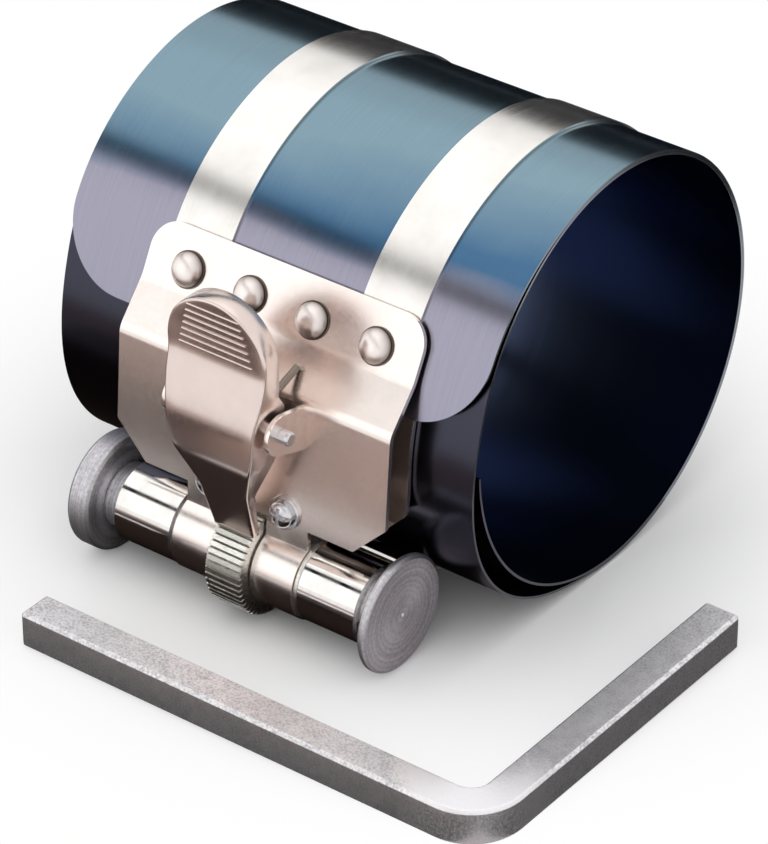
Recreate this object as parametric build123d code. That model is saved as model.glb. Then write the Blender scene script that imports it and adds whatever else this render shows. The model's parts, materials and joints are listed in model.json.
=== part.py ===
from build123d import *
import math
import os

# Ratcheting piston ring compressor, lying on its side with its key beside it.
# X runs along the band, +Y away from the winding mechanism, +Z up.
# The origin is the middle of the bore. Lengths are millimetres, angles degrees.
# A band angle is 0 at the front (-Y), 90 at the top, 180 at the back and -90 at the bottom.
# A standoff is measured forwards from the bore's front, a rise upwards from the shaft's axis.

# Band
band_length = 80.0
bore_radius = 34.7
sheet_thickness = 0.4
turn_gap = 0.05
inner_end_angle = -2.0
inner_turn_end_angle = 50.0
bulge_height = 3.1
bulge_angle = -33.0
bulge_width = 100.0
flap_rise_angle = 75.0
flap_lift = 0.85
flap_flare = 1.4
flap_end_angle = 9.5
flap_corner_radius = 12.0

# Straps
strap_width = 10.8
strap_thickness = 0.4
strap_half_spacing = 18.0
strap_riveted_end_angle = 15.0
roll_turns = 2.35
roll_gap = 0.04
roll_running_gap = 0.25

# Mechanism, centred on the bracket
mechanism_x = 2.8

# Bracket
plate_thickness = 0.8
bracket_width = 52.0
seat_angle = 27.6
seat_standoff = 3.1
plate_above_seat = 3.5
plate_below_seat = 6.4
bend_standoff = 7.5
bend_drop = 6.74
neck_standoff = 9.5
neck_depth = 5.3
back_plate_lead = 0.25
back_plate_angles = (12.0, 6.0, 0.0, -8.0)
back_plate_join_rise = 13.9
neck_foot_share = 0.95
wheel_slot_gap = 0.4
window_bridge = 1.6
plate_bottom_rise = 9.8
plate_chamfer = 5.8
plate_corner_radius = 5.0
kick_radius = 8.0
bend_radius = 3.0
roll_left_gap = 0.8
roll_right_gap = 0.15

# Shaft
shaft_standoff = 6.7
journal_radius = 6.0
journal_clearance = 0.08
drum_radius = 5.4
flange_radius = 9.7
head_thickness = 1.7
socket_flange_thickness = 4.2
flange_chamfer = 0.5
head_gap = 2.7
socket_flange_gap = 3.2
centre_mark_radius = 0.4
spacer_length = 0.8
spacer_gap = 0.05
spacer_radius = 6.6

# Ratchet wheel
tooth_count = 40
wheel_radius = 9.2
tooth_depth = 1.1
tooth_rise = 0.12
tooth_land_end = 0.6
wheel_width = 6.8
wheel_side_gap = 0.3
wheel_press_gap = 0.02

# Release lever
lever_thickness = 1.0
lever_half_width = 9.05
lever_crease_half_width = 7.4
lever_waist_half_width = 4.6
pawl_half_width = 3.9
lever_above_pin = 21.3
lever_taper_above_pin = 2.3
lever_crease_standoff = 18.3
lever_crease_below_pin = 6.2
lever_waist_below_pin = 13.2
pad_standoff = 16.2
pad_dish = 0.5
pad_dish_drop = 6.0
pad_belly = 0.9
skirt_standoff = 11.5
pawl_angle = 60.0
pawl_gap = 0.12
pawl_thickness = 1.6
pawl_root_share = 0.55
wall_back_standoff = 10.6
wall_reach = 3.6
rib_count = 7
rib_pitch = 1.4
rib_width = 0.45
rib_height = 0.3
first_rib_drop = 2.8
first_rib_half_length = 4.6
last_rib_half_length = 6.6

# Lever pivot
pin_standoff = 13.4
pin_below_bend = 2.4
pin_radius = 1.15
pin_lever_clearance = 0.08
pin_ear_clearance = 0.02
pin_head_radius = 2.1
pin_head_height = 1.3
pin_overhang = 1.9
ear_gap = 0.35
ear_nose_radius = 3.3
ear_root_length = 0.5
ear_below_pin = 5.4
ear_above_pin = 2.1

# Torsion spring
wire_radius = 0.6
wire_sides = 8
coil_turns = 3.76
lever_leg_start = 30.0
coil_pitch = 1.3
coil_clearance = 0.35
coil_start = 2.4
spring_plate_leg_length = 10.6
spring_lever_leg_length = 6.0

# Fasteners
rivet_drop = 6.5
rivet_head_radius = 3.0
rivet_head_height = 2.1
rivet_shank_radius = 1.5
rivet_tail_radius = 2.2
rivet_tail_height = 0.4
rivet_hole_gap = 0.02
screw_half_spacing = 7.2
screw_rise = 11.6
screw_radius = 1.45
screw_hole_gap = 0.1
screw_head_radius = 2.15
screw_head_height = 1.5
screw_head_chamfer = 0.45
screw_recess_length = 2.8
screw_recess_depth = 0.8
screw_recess_width = 0.6
washer_radius = 2.8
washer_thickness = 0.6
nut_across_flats = 5.0
nut_height = 1.6
nut_thread_gap = 0.02
screw_end = 0.3

# Square key
key_size = 6.3
key_arm_x = 88.1
key_arm_y = 65.9
key_standoff = 37.7
key_left_x = -19.3
key_inner_radius = 3.0
key_bevel = 0.5
socket_clearance = 0.15
socket_depth = 10.0

# Spare reach of the cutting shapes
spare = 2.0

# Worked out from the sizes above
half_length = band_length / 2
inner_turn_radius = bore_radius + sheet_thickness / 2
outer_turn_radius = inner_turn_radius + sheet_thickness + turn_gap
strap_offset = (sheet_thickness + strap_thickness) / 2 + turn_gap
barrel_inner_radius = journal_radius + journal_clearance
barrel_outer_radius = barrel_inner_radius + plate_thickness
roll_inner_radius = drum_radius + roll_gap
roll_pitch = strap_thickness + roll_gap
roll_outer_radius = roll_inner_radius + math.floor(roll_turns) * roll_pitch + strap_thickness
roll_inner_x = strap_half_spacing - strap_width / 2
roll_outer_x = strap_half_spacing + strap_width / 2
barrel_left_x = mechanism_x - roll_inner_x + roll_left_gap
barrel_right_x = mechanism_x + roll_inner_x - roll_right_gap - spacer_length - spacer_gap
head_inner_x = mechanism_x + roll_outer_x + head_gap
socket_flange_inner_x = mechanism_x - roll_outer_x - socket_flange_gap
floor_z = -(outer_turn_radius + strap_offset + strap_thickness / 2)
shaft_y = -bore_radius - shaft_standoff
shaft_z = floor_z + flange_radius
seat_distance = bore_radius + seat_standoff
bend_y = -bore_radius - bend_standoff
front_neck_y = -bore_radius - neck_standoff
back_plate_join_z = shaft_z + back_plate_join_rise
plate_bottom_z = shaft_z + plate_bottom_rise
screw_z = shaft_z + screw_rise
pin_y = -bore_radius - pin_standoff
lever_crease_y = -bore_radius - lever_crease_standoff
pad_y = -bore_radius - pad_standoff
skirt_y = -bore_radius - skirt_standoff
wall_back_y = -bore_radius - wall_back_standoff
key_front_y = -bore_radius - key_standoff
seat_normal = (-math.cos(math.radians(seat_angle)), math.sin(math.radians(seat_angle)))
seat_down = (-seat_normal[1], seat_normal[0])
bend_z = seat_distance * seat_normal[1] + plate_below_seat * seat_down[1] - bend_drop
neck_foot_z = shaft_z + barrel_inner_radius * neck_foot_share
neck_tilt = math.atan2(bend_y - front_neck_y, bend_z - neck_foot_z)
pin_z = bend_z - pin_below_bend
ear_bottom_z = pin_z - ear_below_pin
ear_top_z = pin_z + ear_above_pin
lever_top_z = pin_z + lever_above_pin
lever_taper_z = pin_z + lever_taper_above_pin
lever_crease_z = pin_z - lever_crease_below_pin
lever_waist_z = pin_z - lever_waist_below_pin
first_rib_z = lever_top_z - first_rib_drop


def polar(angle, radius, centre=(0.0, 0.0)):
    """Point in the YZ plane at a band angle."""
    turn = math.radians(angle)
    return (centre[0] - radius * math.cos(turn), centre[1] + radius * math.sin(turn))


def smooth(value):
    """Smooth step from 0 to 1."""
    value = min(max(value, 0.0), 1.0)
    return value * value * (3 - 2 * value)


def across(profile, x_start, x_end):
    """Extrude a YZ profile from x_start to x_end."""
    plane = Plane(origin=(x_start, 0, 0), x_dir=(0, 1, 0), z_dir=(1, 0, 0))
    return extrude(plane * profile, amount=x_end - x_start, dir=(1, 0, 0))


def seen_from_front(profile, y_start, y_end):
    """Extrude an XZ profile from y_start back to y_end."""
    plane = Plane(origin=(0, y_start, 0), x_dir=(1, 0, 0), z_dir=(0, -1, 0))
    return extrude(plane * profile, amount=y_end - y_start, dir=(0, 1, 0))


def turn_arc(radius, angle_start, angle_end):
    """Arc about the bore's axis, running down from angle_start to angle_end."""
    return CenterArc((0, 0), radius, 180 - angle_start, angle_start - angle_end)


def arc_chain(points, heading):
    """Smooth chain of arcs through points, leaving the first along a heading."""
    chain = []
    for start, end in zip(points, points[1:]):
        arc = TangentArc(start, end, tangent=heading)
        heading = arc % 1
        chain.append(arc)
    return chain


def band_chain(radius_at, angle_start, angle_end, arc_span=16.0):
    """Arcs that follow radius_at(angle) round the band, from angle_start down to angle_end."""
    count = max(3, round((angle_start - angle_end) / arc_span))
    angles = [angle_start + (angle_end - angle_start) * i / count for i in range(count + 1)]
    return arc_chain([polar(a, radius_at(a)) for a in angles], band_heading(radius_at, angle_start))


def band_heading(radius_at, angle, step=0.5):
    """Direction of a line that follows radius_at(angle), towards lower angles."""
    before = polar(angle + step, radius_at(angle + step))
    after = polar(angle - step, radius_at(angle - step))
    return (after[0] - before[0], after[1] - before[1])


def strip(chain, thickness):
    """Flat strip of a thickness about a smooth chain of arcs and lines."""
    sides = []
    for side in (-0.5, 0.5):
        lines = []
        for edge in chain:
            points = []
            for share in (0, 0.5, 1):
                along = edge % share
                points.append(edge @ share + Vector(-along.Y, along.X) * side * thickness)
            if lines:
                points[0] = lines[-1] @ 1
            straight = edge.geom_type == GeomType.LINE
            lines.append(Line(points[0], points[2]) if straight else ThreePointArc(*points))
        sides.append(lines)
    first, second = sides
    ends = [Line(first[0] @ 0, second[0] @ 0), Line(first[-1] @ 1, second[-1] @ 1)]
    return make_face([line.edge() for line in first + second + ends])


def under_flap_radius(angle):
    """Middle of the sheet from the inner turn out over its own end and round the front bulge."""
    rise = smooth((inner_turn_end_angle - angle) / (inner_turn_end_angle - inner_end_angle))
    swing = (angle - bulge_angle) / bulge_width
    bulge = bulge_height * math.cos(math.pi * swing) ** 2 if abs(swing) < 0.5 else 0.0
    return inner_turn_radius + (outer_turn_radius - inner_turn_radius) * rise + bulge


def flap_radius(angle):
    """Middle of the sheet where the outer end lifts to the bracket."""
    lift = flap_lift * smooth((flap_rise_angle - angle) / (flap_rise_angle - seat_angle))
    flare = flap_flare * max(0.0, (seat_angle - angle) / (seat_angle - flap_end_angle)) ** 2
    return outer_turn_radius + lift + flare


def bulge_end_angle():
    """Angle at which the bulge has come back to the outer turn."""
    return bulge_angle - bulge_width / 2


def make_band_sheet():
    wound = [turn_arc(inner_turn_radius, inner_end_angle, inner_turn_end_angle - 360)]
    wound += band_chain(under_flap_radius, inner_turn_end_angle, bulge_end_angle())
    wound.append(turn_arc(outer_turn_radius, bulge_end_angle(), flap_rise_angle - 360))
    flap = band_chain(flap_radius, flap_rise_angle, flap_end_angle)
    sheet = across(strip(wound, sheet_thickness), -half_length, half_length)
    sheet += across(strip(flap, sheet_thickness), -half_length, half_length) - flap_corner_cutters()
    for x in rivet_xs():
        sheet -= rivet_bore(x, rivet_shank_radius + rivet_hole_gap)
    return sheet


def flap_corner_cutters():
    """Waste outside the two rounded corners of the flap, cut straight in from the front."""
    end_z = polar(flap_end_angle, flap_radius(flap_end_angle))[1]
    reach = flap_corner_radius
    cutters = []
    for side in (-1, 1):
        shift = (reach - spare) / 2
        square = Pos(side * (half_length - shift), end_z + shift) * Rectangle(reach + spare, reach + spare)
        disc = Pos(side * (half_length - reach), end_z + reach) * Circle(reach)
        cutters.append(seen_from_front(square - disc, -half_length * 2, -bore_radius * 0.5))
    return cutters


def rivet_xs():
    spacing = 2 * strap_half_spacing / 3
    return [mechanism_x - strap_half_spacing + i * spacing for i in range(4)]


def rivet_seat():
    """Middle of the rivet row on the bracket's outer face, as (y, z)."""
    drop = rivet_drop - plate_above_seat
    return tuple(n * seat_distance + d * drop for n, d in zip(seat_normal, seat_down))


def rivet_plane(x, depth=0.0):
    """Plane on the bracket's seat at a rivet, facing outwards and sunk by depth."""
    y, z = rivet_seat()
    return Plane(origin=(x, y - seat_normal[0] * depth, z - seat_normal[1] * depth),
                 x_dir=(1, 0, 0), z_dir=(0, seat_normal[0], seat_normal[1]))


def rivet_grip():
    """Depth from the bracket's outer face to the inside of the flap."""
    y, z = rivet_seat()
    angle = math.degrees(math.atan2(z, -y))
    inside = flap_radius(angle) - sheet_thickness / 2
    return math.hypot(y, z) - inside * math.cos(math.radians(seat_angle - angle)) + turn_gap


def rivet_bore(x, radius):
    return extrude(rivet_plane(x, rivet_grip() + rivet_tail_height) * Circle(radius),
                   amount=rivet_grip() + rivet_tail_height + spare)


def make_rivet(x):
    grip = rivet_grip()
    sphere_radius = (rivet_head_radius ** 2 + rivet_head_height ** 2) / (2 * rivet_head_height)
    sunk = sphere_radius - rivet_head_height
    dome = rivet_plane(x) * (Pos(0, 0, -sunk) * Sphere(sphere_radius))
    keep = extrude(rivet_plane(x) * Circle(rivet_head_radius + 1), amount=rivet_head_height + 1)
    shank = extrude(rivet_plane(x, grip) * Circle(rivet_shank_radius), amount=grip)
    tail = extrude(rivet_plane(x, grip + rivet_tail_height) * Circle(rivet_tail_radius), amount=rivet_tail_height)
    return (dome & keep) + shank + tail


def strap_over(sheet_radius):
    """Radius of the strap's middle line over a stretch of the sheet."""
    return lambda angle: sheet_radius(angle) + strap_offset


def lead_to_roll(angle):
    """Straight middle line from the strap at a band angle to its roll, as (start, end)."""
    start = polar(angle, under_flap_radius(angle) + strap_offset)
    radius = roll_outer_radius + roll_running_gap + strap_thickness / 2
    distance = math.dist(start, (shaft_y, shaft_z))
    heading = math.atan2(shaft_z - start[1], shaft_y - start[0]) - math.asin(radius / distance)
    run = math.sqrt(distance ** 2 - radius ** 2)
    return start, (start[0] + run * math.cos(heading), start[1] + run * math.sin(heading))


def strap_leaving_angle():
    """Band angle at which the straight lead runs on from the strap's curve without a kink."""
    low, high = bulge_end_angle(), bulge_angle
    for _ in range(30):
        middle = (low + high) / 2
        start, end = lead_to_roll(middle)
        along = band_heading(strap_over(under_flap_radius), middle)
        if along[0] * (end[1] - start[1]) > along[1] * (end[0] - start[0]):
            low = middle
        else:
            high = middle
    return middle


def make_strap(side):
    """Strap from its roll up the bulge, round the back and over to the rivets."""
    leaving = strap_leaving_angle()
    on_band, on_roll = lead_to_roll(leaving)
    chain = [Line(on_roll, on_band)]
    chain += band_chain(strap_over(under_flap_radius), leaving, bulge_end_angle())
    chain.append(turn_arc(outer_turn_radius + strap_offset, bulge_end_angle(), flap_rise_angle - 360))
    chain += band_chain(strap_over(flap_radius), flap_rise_angle, strap_riveted_end_angle)
    x_middle = mechanism_x + side * strap_half_spacing
    strap = across(strip(chain, strap_thickness), x_middle - strap_width / 2, x_middle + strap_width / 2)
    for x in rivet_xs():
        strap -= rivet_bore(x, rivet_shank_radius + rivet_hole_gap)
    return strap


def make_strap_roll(side):
    """The strap's end, wound on the drum in half turns that each widen by half the pitch."""
    radius = roll_inner_radius + strap_thickness / 2
    spot, heading = polar(0, radius), (0, 1)
    left_to_wind = 360 * roll_turns
    chain = []
    while left_to_wind > 0:
        arc = JernArc(spot, heading, radius, -min(180, left_to_wind))
        spot, heading = arc @ 1, arc % 1
        radius += roll_pitch / 2
        left_to_wind -= 180
        chain.append(arc)
    x_middle = mechanism_x + side * strap_half_spacing
    roll = across(strip(chain, strap_thickness), x_middle - strap_width / 2, x_middle + strap_width / 2)
    return Pos(0, shaft_y, shaft_z) * roll


def neck_point(z, depth=0.0):
    """Point behind the front plate's straight neck, at height z and a depth from its front face."""
    share = (bend_z - z) / (bend_z - neck_foot_z)
    y = bend_y + (front_neck_y - bend_y) * share
    return (y + depth / math.cos(neck_tilt), z)


def front_plate_profile():
    """Front plate: seat on the band, kick outwards, bend, straight neck down to the barrels."""
    middle_distance = seat_distance - plate_thickness / 2
    top = tuple(n * middle_distance - d * plate_above_seat for n, d in zip(seat_normal, seat_down))
    kick = tuple(n * middle_distance + d * plate_below_seat for n, d in zip(seat_normal, seat_down))
    bend = neck_point(bend_z, plate_thickness / 2)
    foot = neck_point(neck_foot_z, plate_thickness / 2)
    line = FilletPolyline(top, kick, bend, foot, radius=[kick_radius, bend_radius])
    return strip(line.edges(), plate_thickness)


def back_plate_profile():
    """Back plate: from under the flap, along the bulge, down to the barrels."""
    lead = back_plate_lead + (sheet_thickness + plate_thickness) / 2
    depth = neck_depth - plate_thickness / 2
    points = [polar(a, under_flap_radius(a) + lead) for a in back_plate_angles]
    points.append(neck_point(back_plate_join_z, depth))
    heading = band_heading(under_flap_radius, back_plate_angles[0])
    chain = arc_chain(points, heading)
    chain.append(Line(points[-1], neck_point(neck_foot_z, depth)))
    return strip(chain, plate_thickness)


def bracket_outline():
    """The folded plate seen from the front, with the tab that carries the barrels."""
    height = bracket_width
    plate = Pos(mechanism_x, plate_bottom_z + height / 2) * Rectangle(bracket_width, height)
    lower = plate.vertices().group_by(Axis.Y)[0]
    plate = chamfer(lower, plate_chamfer)
    tab_length = barrel_right_x - barrel_left_x
    tab_middle = (barrel_right_x + barrel_left_x) / 2
    tab_height = plate_bottom_z - floor_z
    tab = Pos(tab_middle, floor_z + tab_height / 2) * Rectangle(tab_length, tab_height + 1)
    slot_height = shaft_z + wheel_radius + wheel_slot_gap - floor_z
    slot = Pos(mechanism_x, floor_z + slot_height / 2) * Rectangle(wheel_width + 2 * wheel_side_gap, slot_height)
    return plate + tab - slot


def top_corner_cutters():
    """Waste outside the two rounded upper corners of the front plate."""
    top = tuple(n * seat_distance - d * plate_above_seat for n, d in zip(seat_normal, seat_down))
    plane = Plane(origin=(mechanism_x, *top), x_dir=(1, 0, 0), z_dir=(0, seat_normal[0], seat_normal[1]))
    reach = plate_corner_radius
    cutters = []
    for side in (-1, 1):
        edge = side * bracket_width / 2
        square = Pos(edge - side * reach / 2, -reach / 2) * Rectangle(reach, reach)
        margin = Pos(edge, 0) * Rectangle(spare, spare)
        disc = Pos(edge - side * reach, -reach) * Circle(reach)
        waste = plane * ((square + margin) - disc)
        cutters.append(extrude(waste, amount=spare) + extrude(waste, amount=-(plate_thickness + spare / 4)))
    return cutters


def ear_xs():
    """Inner faces of the two lugs that carry the lever pin."""
    reach = lever_half_width + ear_gap
    return mechanism_x - reach, mechanism_x + reach


def make_ears():
    """Two lugs lanced out of the front plate and bent forward."""
    root_y = neck_point(pin_z, plate_thickness / 2)[0]
    nose = Pos(pin_y, pin_z) * Circle(ear_nose_radius)
    root = Polygon((root_y, ear_top_z), (root_y, ear_bottom_z), (root_y - ear_root_length, ear_bottom_z),
                   (root_y - ear_root_length, ear_top_z), align=None)
    lug = make_hull(nose.edges() + root.edges())
    lug -= Pos(pin_y, pin_z) * Circle(pin_radius + pin_ear_clearance)
    left, right = ear_xs()
    return across(lug, left - plate_thickness, left) + across(lug, right, right + plate_thickness)


def lug_windows():
    """Openings in the front plate that the lugs were bent out of, seen from the front."""
    left, right = ear_xs()
    width = (right - left - window_bridge) / 2
    height = ear_top_z - ear_bottom_z
    window = Rectangle(width, height)
    middle_z = (ear_top_z + ear_bottom_z) / 2
    return Pos(left + width / 2, middle_z) * window + Pos(right - width / 2, middle_z) * window


def make_bracket():
    """One sheet folded round the shaft: front plate, two barrels and back plate."""
    left, right = mechanism_x - bracket_width / 2, mechanism_x + bracket_width / 2
    front = across(front_plate_profile(), left, right)
    front -= top_corner_cutters()
    front -= seen_from_front(lug_windows(), pin_y, bend_y + spare)
    back = across(back_plate_profile(), left, right)
    ring = Pos(shaft_y, shaft_z) * (Circle(barrel_outer_radius) - Circle(barrel_inner_radius))
    front_foot = neck_point(neck_foot_z, plate_thickness / 2)
    back_foot = neck_point(neck_foot_z, neck_depth - plate_thickness / 2)
    mouth = Polygon(front_foot, back_foot, (back_foot[0], shaft_z + 2 * barrel_outer_radius),
                    (front_foot[0], shaft_z + 2 * barrel_outer_radius), align=None)
    barrels = across(ring - mouth, barrel_left_x, barrel_right_x)
    mask = seen_from_front(bracket_outline(), shaft_y - 2 * flange_radius, 0)
    bracket = (front + back + barrels) & mask
    bracket += make_ears()
    for x in rivet_xs():
        bracket -= rivet_bore(x, rivet_shank_radius + rivet_hole_gap)
    for x in screw_xs():
        bracket -= screw_rod(x, screw_radius + screw_hole_gap, -spare, neck_depth + spare)
    return bracket


def screw_xs():
    return [mechanism_x - screw_half_spacing, mechanism_x + screw_half_spacing]


def screw_plane(x, depth=0.0):
    """Plane parallel to the neck at a clamp screw, facing forwards and sunk by depth."""
    y, z = neck_point(screw_z)
    y += depth * math.cos(neck_tilt)
    z -= depth * math.sin(neck_tilt)
    return Plane(origin=(x, y, z), x_dir=(1, 0, 0), z_dir=(0, -math.cos(neck_tilt), math.sin(neck_tilt)))


def screw_rod(x, radius, depth_start, depth_end):
    return extrude(screw_plane(x, depth_end) * Circle(radius), amount=depth_end - depth_start)


def make_clamp_screw(x):
    """Cross-head pan screw."""
    head_plane = screw_plane(x, -washer_thickness)
    head = extrude(head_plane * Circle(screw_head_radius), amount=screw_head_height)
    head = chamfer(head.edges().group_by(Axis.Y)[0], screw_head_chamfer)
    recess_plane = screw_plane(x, -washer_thickness - screw_head_height + screw_recess_depth)
    arm = Rectangle(screw_recess_length, screw_recess_width)
    recess = extrude(recess_plane * (arm + Rot(0, 0, 90) * arm), amount=screw_recess_depth + spare)
    shank = screw_rod(x, screw_radius, -washer_thickness, neck_depth + nut_height + screw_end)
    return head - recess + shank


def make_washer(x):
    outer = screw_rod(x, washer_radius, -washer_thickness, 0)
    return outer - screw_rod(x, screw_radius + screw_hole_gap, -washer_thickness - spare, spare)


def make_nut(x):
    plane = screw_plane(x, neck_depth + nut_height)
    across_corners = nut_across_flats / math.cos(math.pi / 6)
    hexagon = RegularPolygon(across_corners / 2, 6) - Circle(screw_radius + nut_thread_gap)
    return extrude(plane * hexagon, amount=nut_height)


def turned(points):
    """Solid turned about the shaft axis from (x, radius) points."""
    profile = make_face(Polyline(*points, close=True))
    return Pos(0, shaft_y, shaft_z) * revolve(profile, Axis.X)


def make_winding_shaft():
    """Shaft with a turned head on the right and a square socket in its left end."""
    face_x = head_inner_x + head_thickness
    left_x = socket_flange_inner_x - socket_flange_thickness
    points = [(left_x, 0), (left_x, drum_radius), (barrel_left_x, drum_radius),
              (barrel_left_x, journal_radius), (barrel_right_x, journal_radius),
              (barrel_right_x, drum_radius), (head_inner_x, drum_radius),
              (head_inner_x, flange_radius - flange_chamfer),
              (head_inner_x + flange_chamfer, flange_radius), (face_x - flange_chamfer, flange_radius),
              (face_x, flange_radius - flange_chamfer), (face_x, centre_mark_radius),
              (face_x - centre_mark_radius, 0)]
    shaft = turned(points)
    return shaft - square_socket()


def square_socket():
    side = key_size + 2 * socket_clearance
    left_x = socket_flange_inner_x - socket_flange_thickness
    return across(Pos(shaft_y, shaft_z) * Rectangle(side, side), left_x - spare, left_x + socket_depth)


def make_socket_flange():
    """Thick collar pressed on the shaft's left end."""
    inner_x = socket_flange_inner_x
    left_x = inner_x - socket_flange_thickness
    rim = flange_radius - flange_chamfer
    bore = drum_radius + wheel_press_gap
    return turned([(left_x, bore), (left_x, rim), (left_x + flange_chamfer, flange_radius),
                   (inner_x - flange_chamfer, flange_radius), (inner_x, rim), (inner_x, bore)])


def make_spacer_ring():
    start = barrel_right_x + spacer_gap
    bore = drum_radius + wheel_press_gap
    return turned([(start, bore), (start, spacer_radius), (start + spacer_length, spacer_radius),
                   (start + spacer_length, bore)])


def make_ratchet_wheel():
    """Straight saw teeth, steep on the side that the pawl holds."""
    pitch = 360 / tooth_count
    points = []
    for i in range(tooth_count):
        start = i * pitch
        for share, radius in ((0.0, wheel_radius - tooth_depth), (tooth_rise, wheel_radius),
                              (tooth_land_end, wheel_radius)):
            turn = math.radians(start + share * pitch)
            points.append((radius * math.cos(turn), radius * math.sin(turn)))
    wheel = make_face(Polyline(*points, close=True)) - Circle(journal_radius + wheel_press_gap)
    return across(Pos(shaft_y, shaft_z) * wheel, mechanism_x - wheel_width / 2, mechanism_x + wheel_width / 2)


def lever_front_outline(inset=0.0):
    """The lever seen from the front: round pad, straight sides, taper to the pawl."""
    half = lever_half_width - inset
    centre_z = lever_top_z - lever_half_width
    tip_z = shaft_z + wheel_radius / 2
    right = [(half, centre_z), (half, lever_taper_z), (lever_crease_half_width - inset, lever_crease_z),
             (lever_waist_half_width - inset, lever_waist_z), (pawl_half_width - inset, tip_z)]
    left = [(-x, z) for x, z in reversed(right)]
    body = Polygon(*right, *left, align=None) + Pos(0, centre_z) * Circle(half)
    return Pos(mechanism_x, 0) * body


def pawl_point():
    """Back corner of the pawl's tip, just clear of the tooth crests."""
    return polar(pawl_angle, wheel_radius + pawl_gap, (shaft_y, shaft_z))


def lever_face_line(inset=0.0):
    """Front face of the lever from the top of the pad to the crease."""
    points = [(pad_y, lever_top_z + spare), (pad_y + pad_dish, lever_top_z - pad_dish_drop),
              (pad_y - pad_belly, lever_taper_z), (lever_crease_y, lever_crease_z)]
    return arc_chain([(y + inset, z) for y, z in points], (pad_dish, -pad_dish_drop))


def lever_side_outline(inset=0.0, open_back=0.0):
    """The lever seen from the side, between its face and the edge of its skirt."""
    face = lever_face_line(inset)
    top, crease = face[0] @ 0, face[-1] @ 1
    tip_back = pawl_point()
    run = (tip_back[0] - lever_crease_y, tip_back[1] - lever_crease_z)
    length = math.hypot(*run)
    outward = (run[1] / length, -run[0] / length)
    tip_front = tuple(t + o * (pawl_thickness - inset) for t, o in zip(tip_back, outward))
    upper_back = tuple(c - o * pawl_thickness + r * pawl_root_share
                       for c, o, r in zip((lever_crease_y, lever_crease_z), outward, run))
    back = [crease, tip_front, tip_back, upper_back, (wall_back_y, pin_z - wall_reach),
            (wall_back_y, pin_z + wall_reach), (skirt_y, lever_taper_z + wall_reach),
            (skirt_y, lever_top_z + spare), top]
    if open_back:
        back = [crease, tip_front, tip_back, (skirt_y + open_back, tip_back[1]),
                (skirt_y + open_back, lever_top_z + spare), top]
    return make_face([arc.edge() for arc in face] + Polyline(*back).edges())


def lever_block(inset=0.0, open_back=0.0):
    """Space filled by the lever's front and side outlines together."""
    wide = across(lever_side_outline(inset, open_back), mechanism_x - 2 * lever_half_width,
                  mechanism_x + 2 * lever_half_width)
    return wide & seen_from_front(lever_front_outline(inset), lever_crease_y - spare, -bore_radius)


def make_release_lever():
    """Pressed lever: ribbed thumb pad with a skirt, tapering to the pawl."""
    block = lever_block()
    lever = block - lever_block(lever_thickness, open_back=skirt_standoff)
    raised = Pos(0, -rib_height, 0) * block
    for i in range(rib_count):
        share = i / (rib_count - 1)
        half = first_rib_half_length + (last_rib_half_length - first_rib_half_length) * share
        bar = Pos(mechanism_x, first_rib_z - i * rib_pitch) * Rectangle(2 * half, rib_width)
        lever += raised & seen_from_front(bar, lever_crease_y - spare, pad_y + pad_dish + lever_thickness / 2)
    bore = Pos(pin_y, pin_z) * Circle(pin_radius + pin_lever_clearance)
    return lever - across(bore, mechanism_x - 2 * lever_half_width, mechanism_x + 2 * lever_half_width)


def make_lever_pin():
    """Pin through both lugs, with a domed head on the left."""
    left, right = ear_xs()
    head_x = left - plate_thickness - ear_gap / 5
    end_x = right + plate_thickness + pin_overhang
    pin = across(Pos(pin_y, pin_z) * Circle(pin_radius), head_x, end_x)
    pin = chamfer(pin.edges().group_by(Axis.X)[-1], pin_radius * 0.2)
    sphere_radius = (pin_head_radius ** 2 + pin_head_height ** 2) / (2 * pin_head_height)
    ball = Pos(head_x + sphere_radius - pin_head_height, pin_y, pin_z) * Sphere(sphere_radius)
    keep = across(Pos(pin_y, pin_z) * Circle(pin_head_radius + 1), head_x - 2 * pin_head_height, head_x)
    return pin + (ball & keep)


def make_torsion_spring():
    """Coil round the pin: one leg on the front plate, the other behind the pad."""
    radius = pin_radius + coil_clearance + wire_radius
    height = coil_pitch * coil_turns
    start_x = mechanism_x + lever_half_width - lever_thickness - coil_start - height
    frame = Plane(origin=(start_x, pin_y, pin_z), x_dir=(0, 1, 0), z_dir=(1, 0, 0))
    helix = Helix(pitch=coil_pitch, height=height, radius=radius, lefthand=True)
    coil = frame * (Rot(0, 0, lever_leg_start) * helix)
    lever_leg = Line(coil @ 0 - (coil % 0) * spring_lever_leg_length, coil @ 0)
    plate_leg = Line(coil @ 1, coil @ 1 + (coil % 1) * spring_plate_leg_length)
    path = Wire([lever_leg.edge(), coil.edge(), plate_leg.edge()])
    section = Plane(origin=path @ 0, z_dir=path % 0) * RegularPolygon(wire_radius, wire_sides)
    return sweep(section, path=path)


def make_square_key():
    """L-shaped square key lying on the floor in front of the band."""
    left, front = key_left_x, key_front_y
    right, back = left + key_arm_x, front + key_arm_y
    outline = Polygon((left, front), (right, front), (right, back), (right - key_size, back),
                      (right - key_size, front + key_size), (left, front + key_size), align=None)
    outer = outline.vertices().sort_by_distance((right, front, 0))[0]
    outline = fillet(outer, key_inner_radius + key_size)
    inner = outline.vertices().sort_by_distance((right - key_size, front + key_size, 0))[0]
    outline = fillet(inner, key_inner_radius)
    key = Pos(0, 0, floor_z) * extrude(outline, amount=key_size)
    return chamfer(key.edges(), key_bevel)


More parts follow.
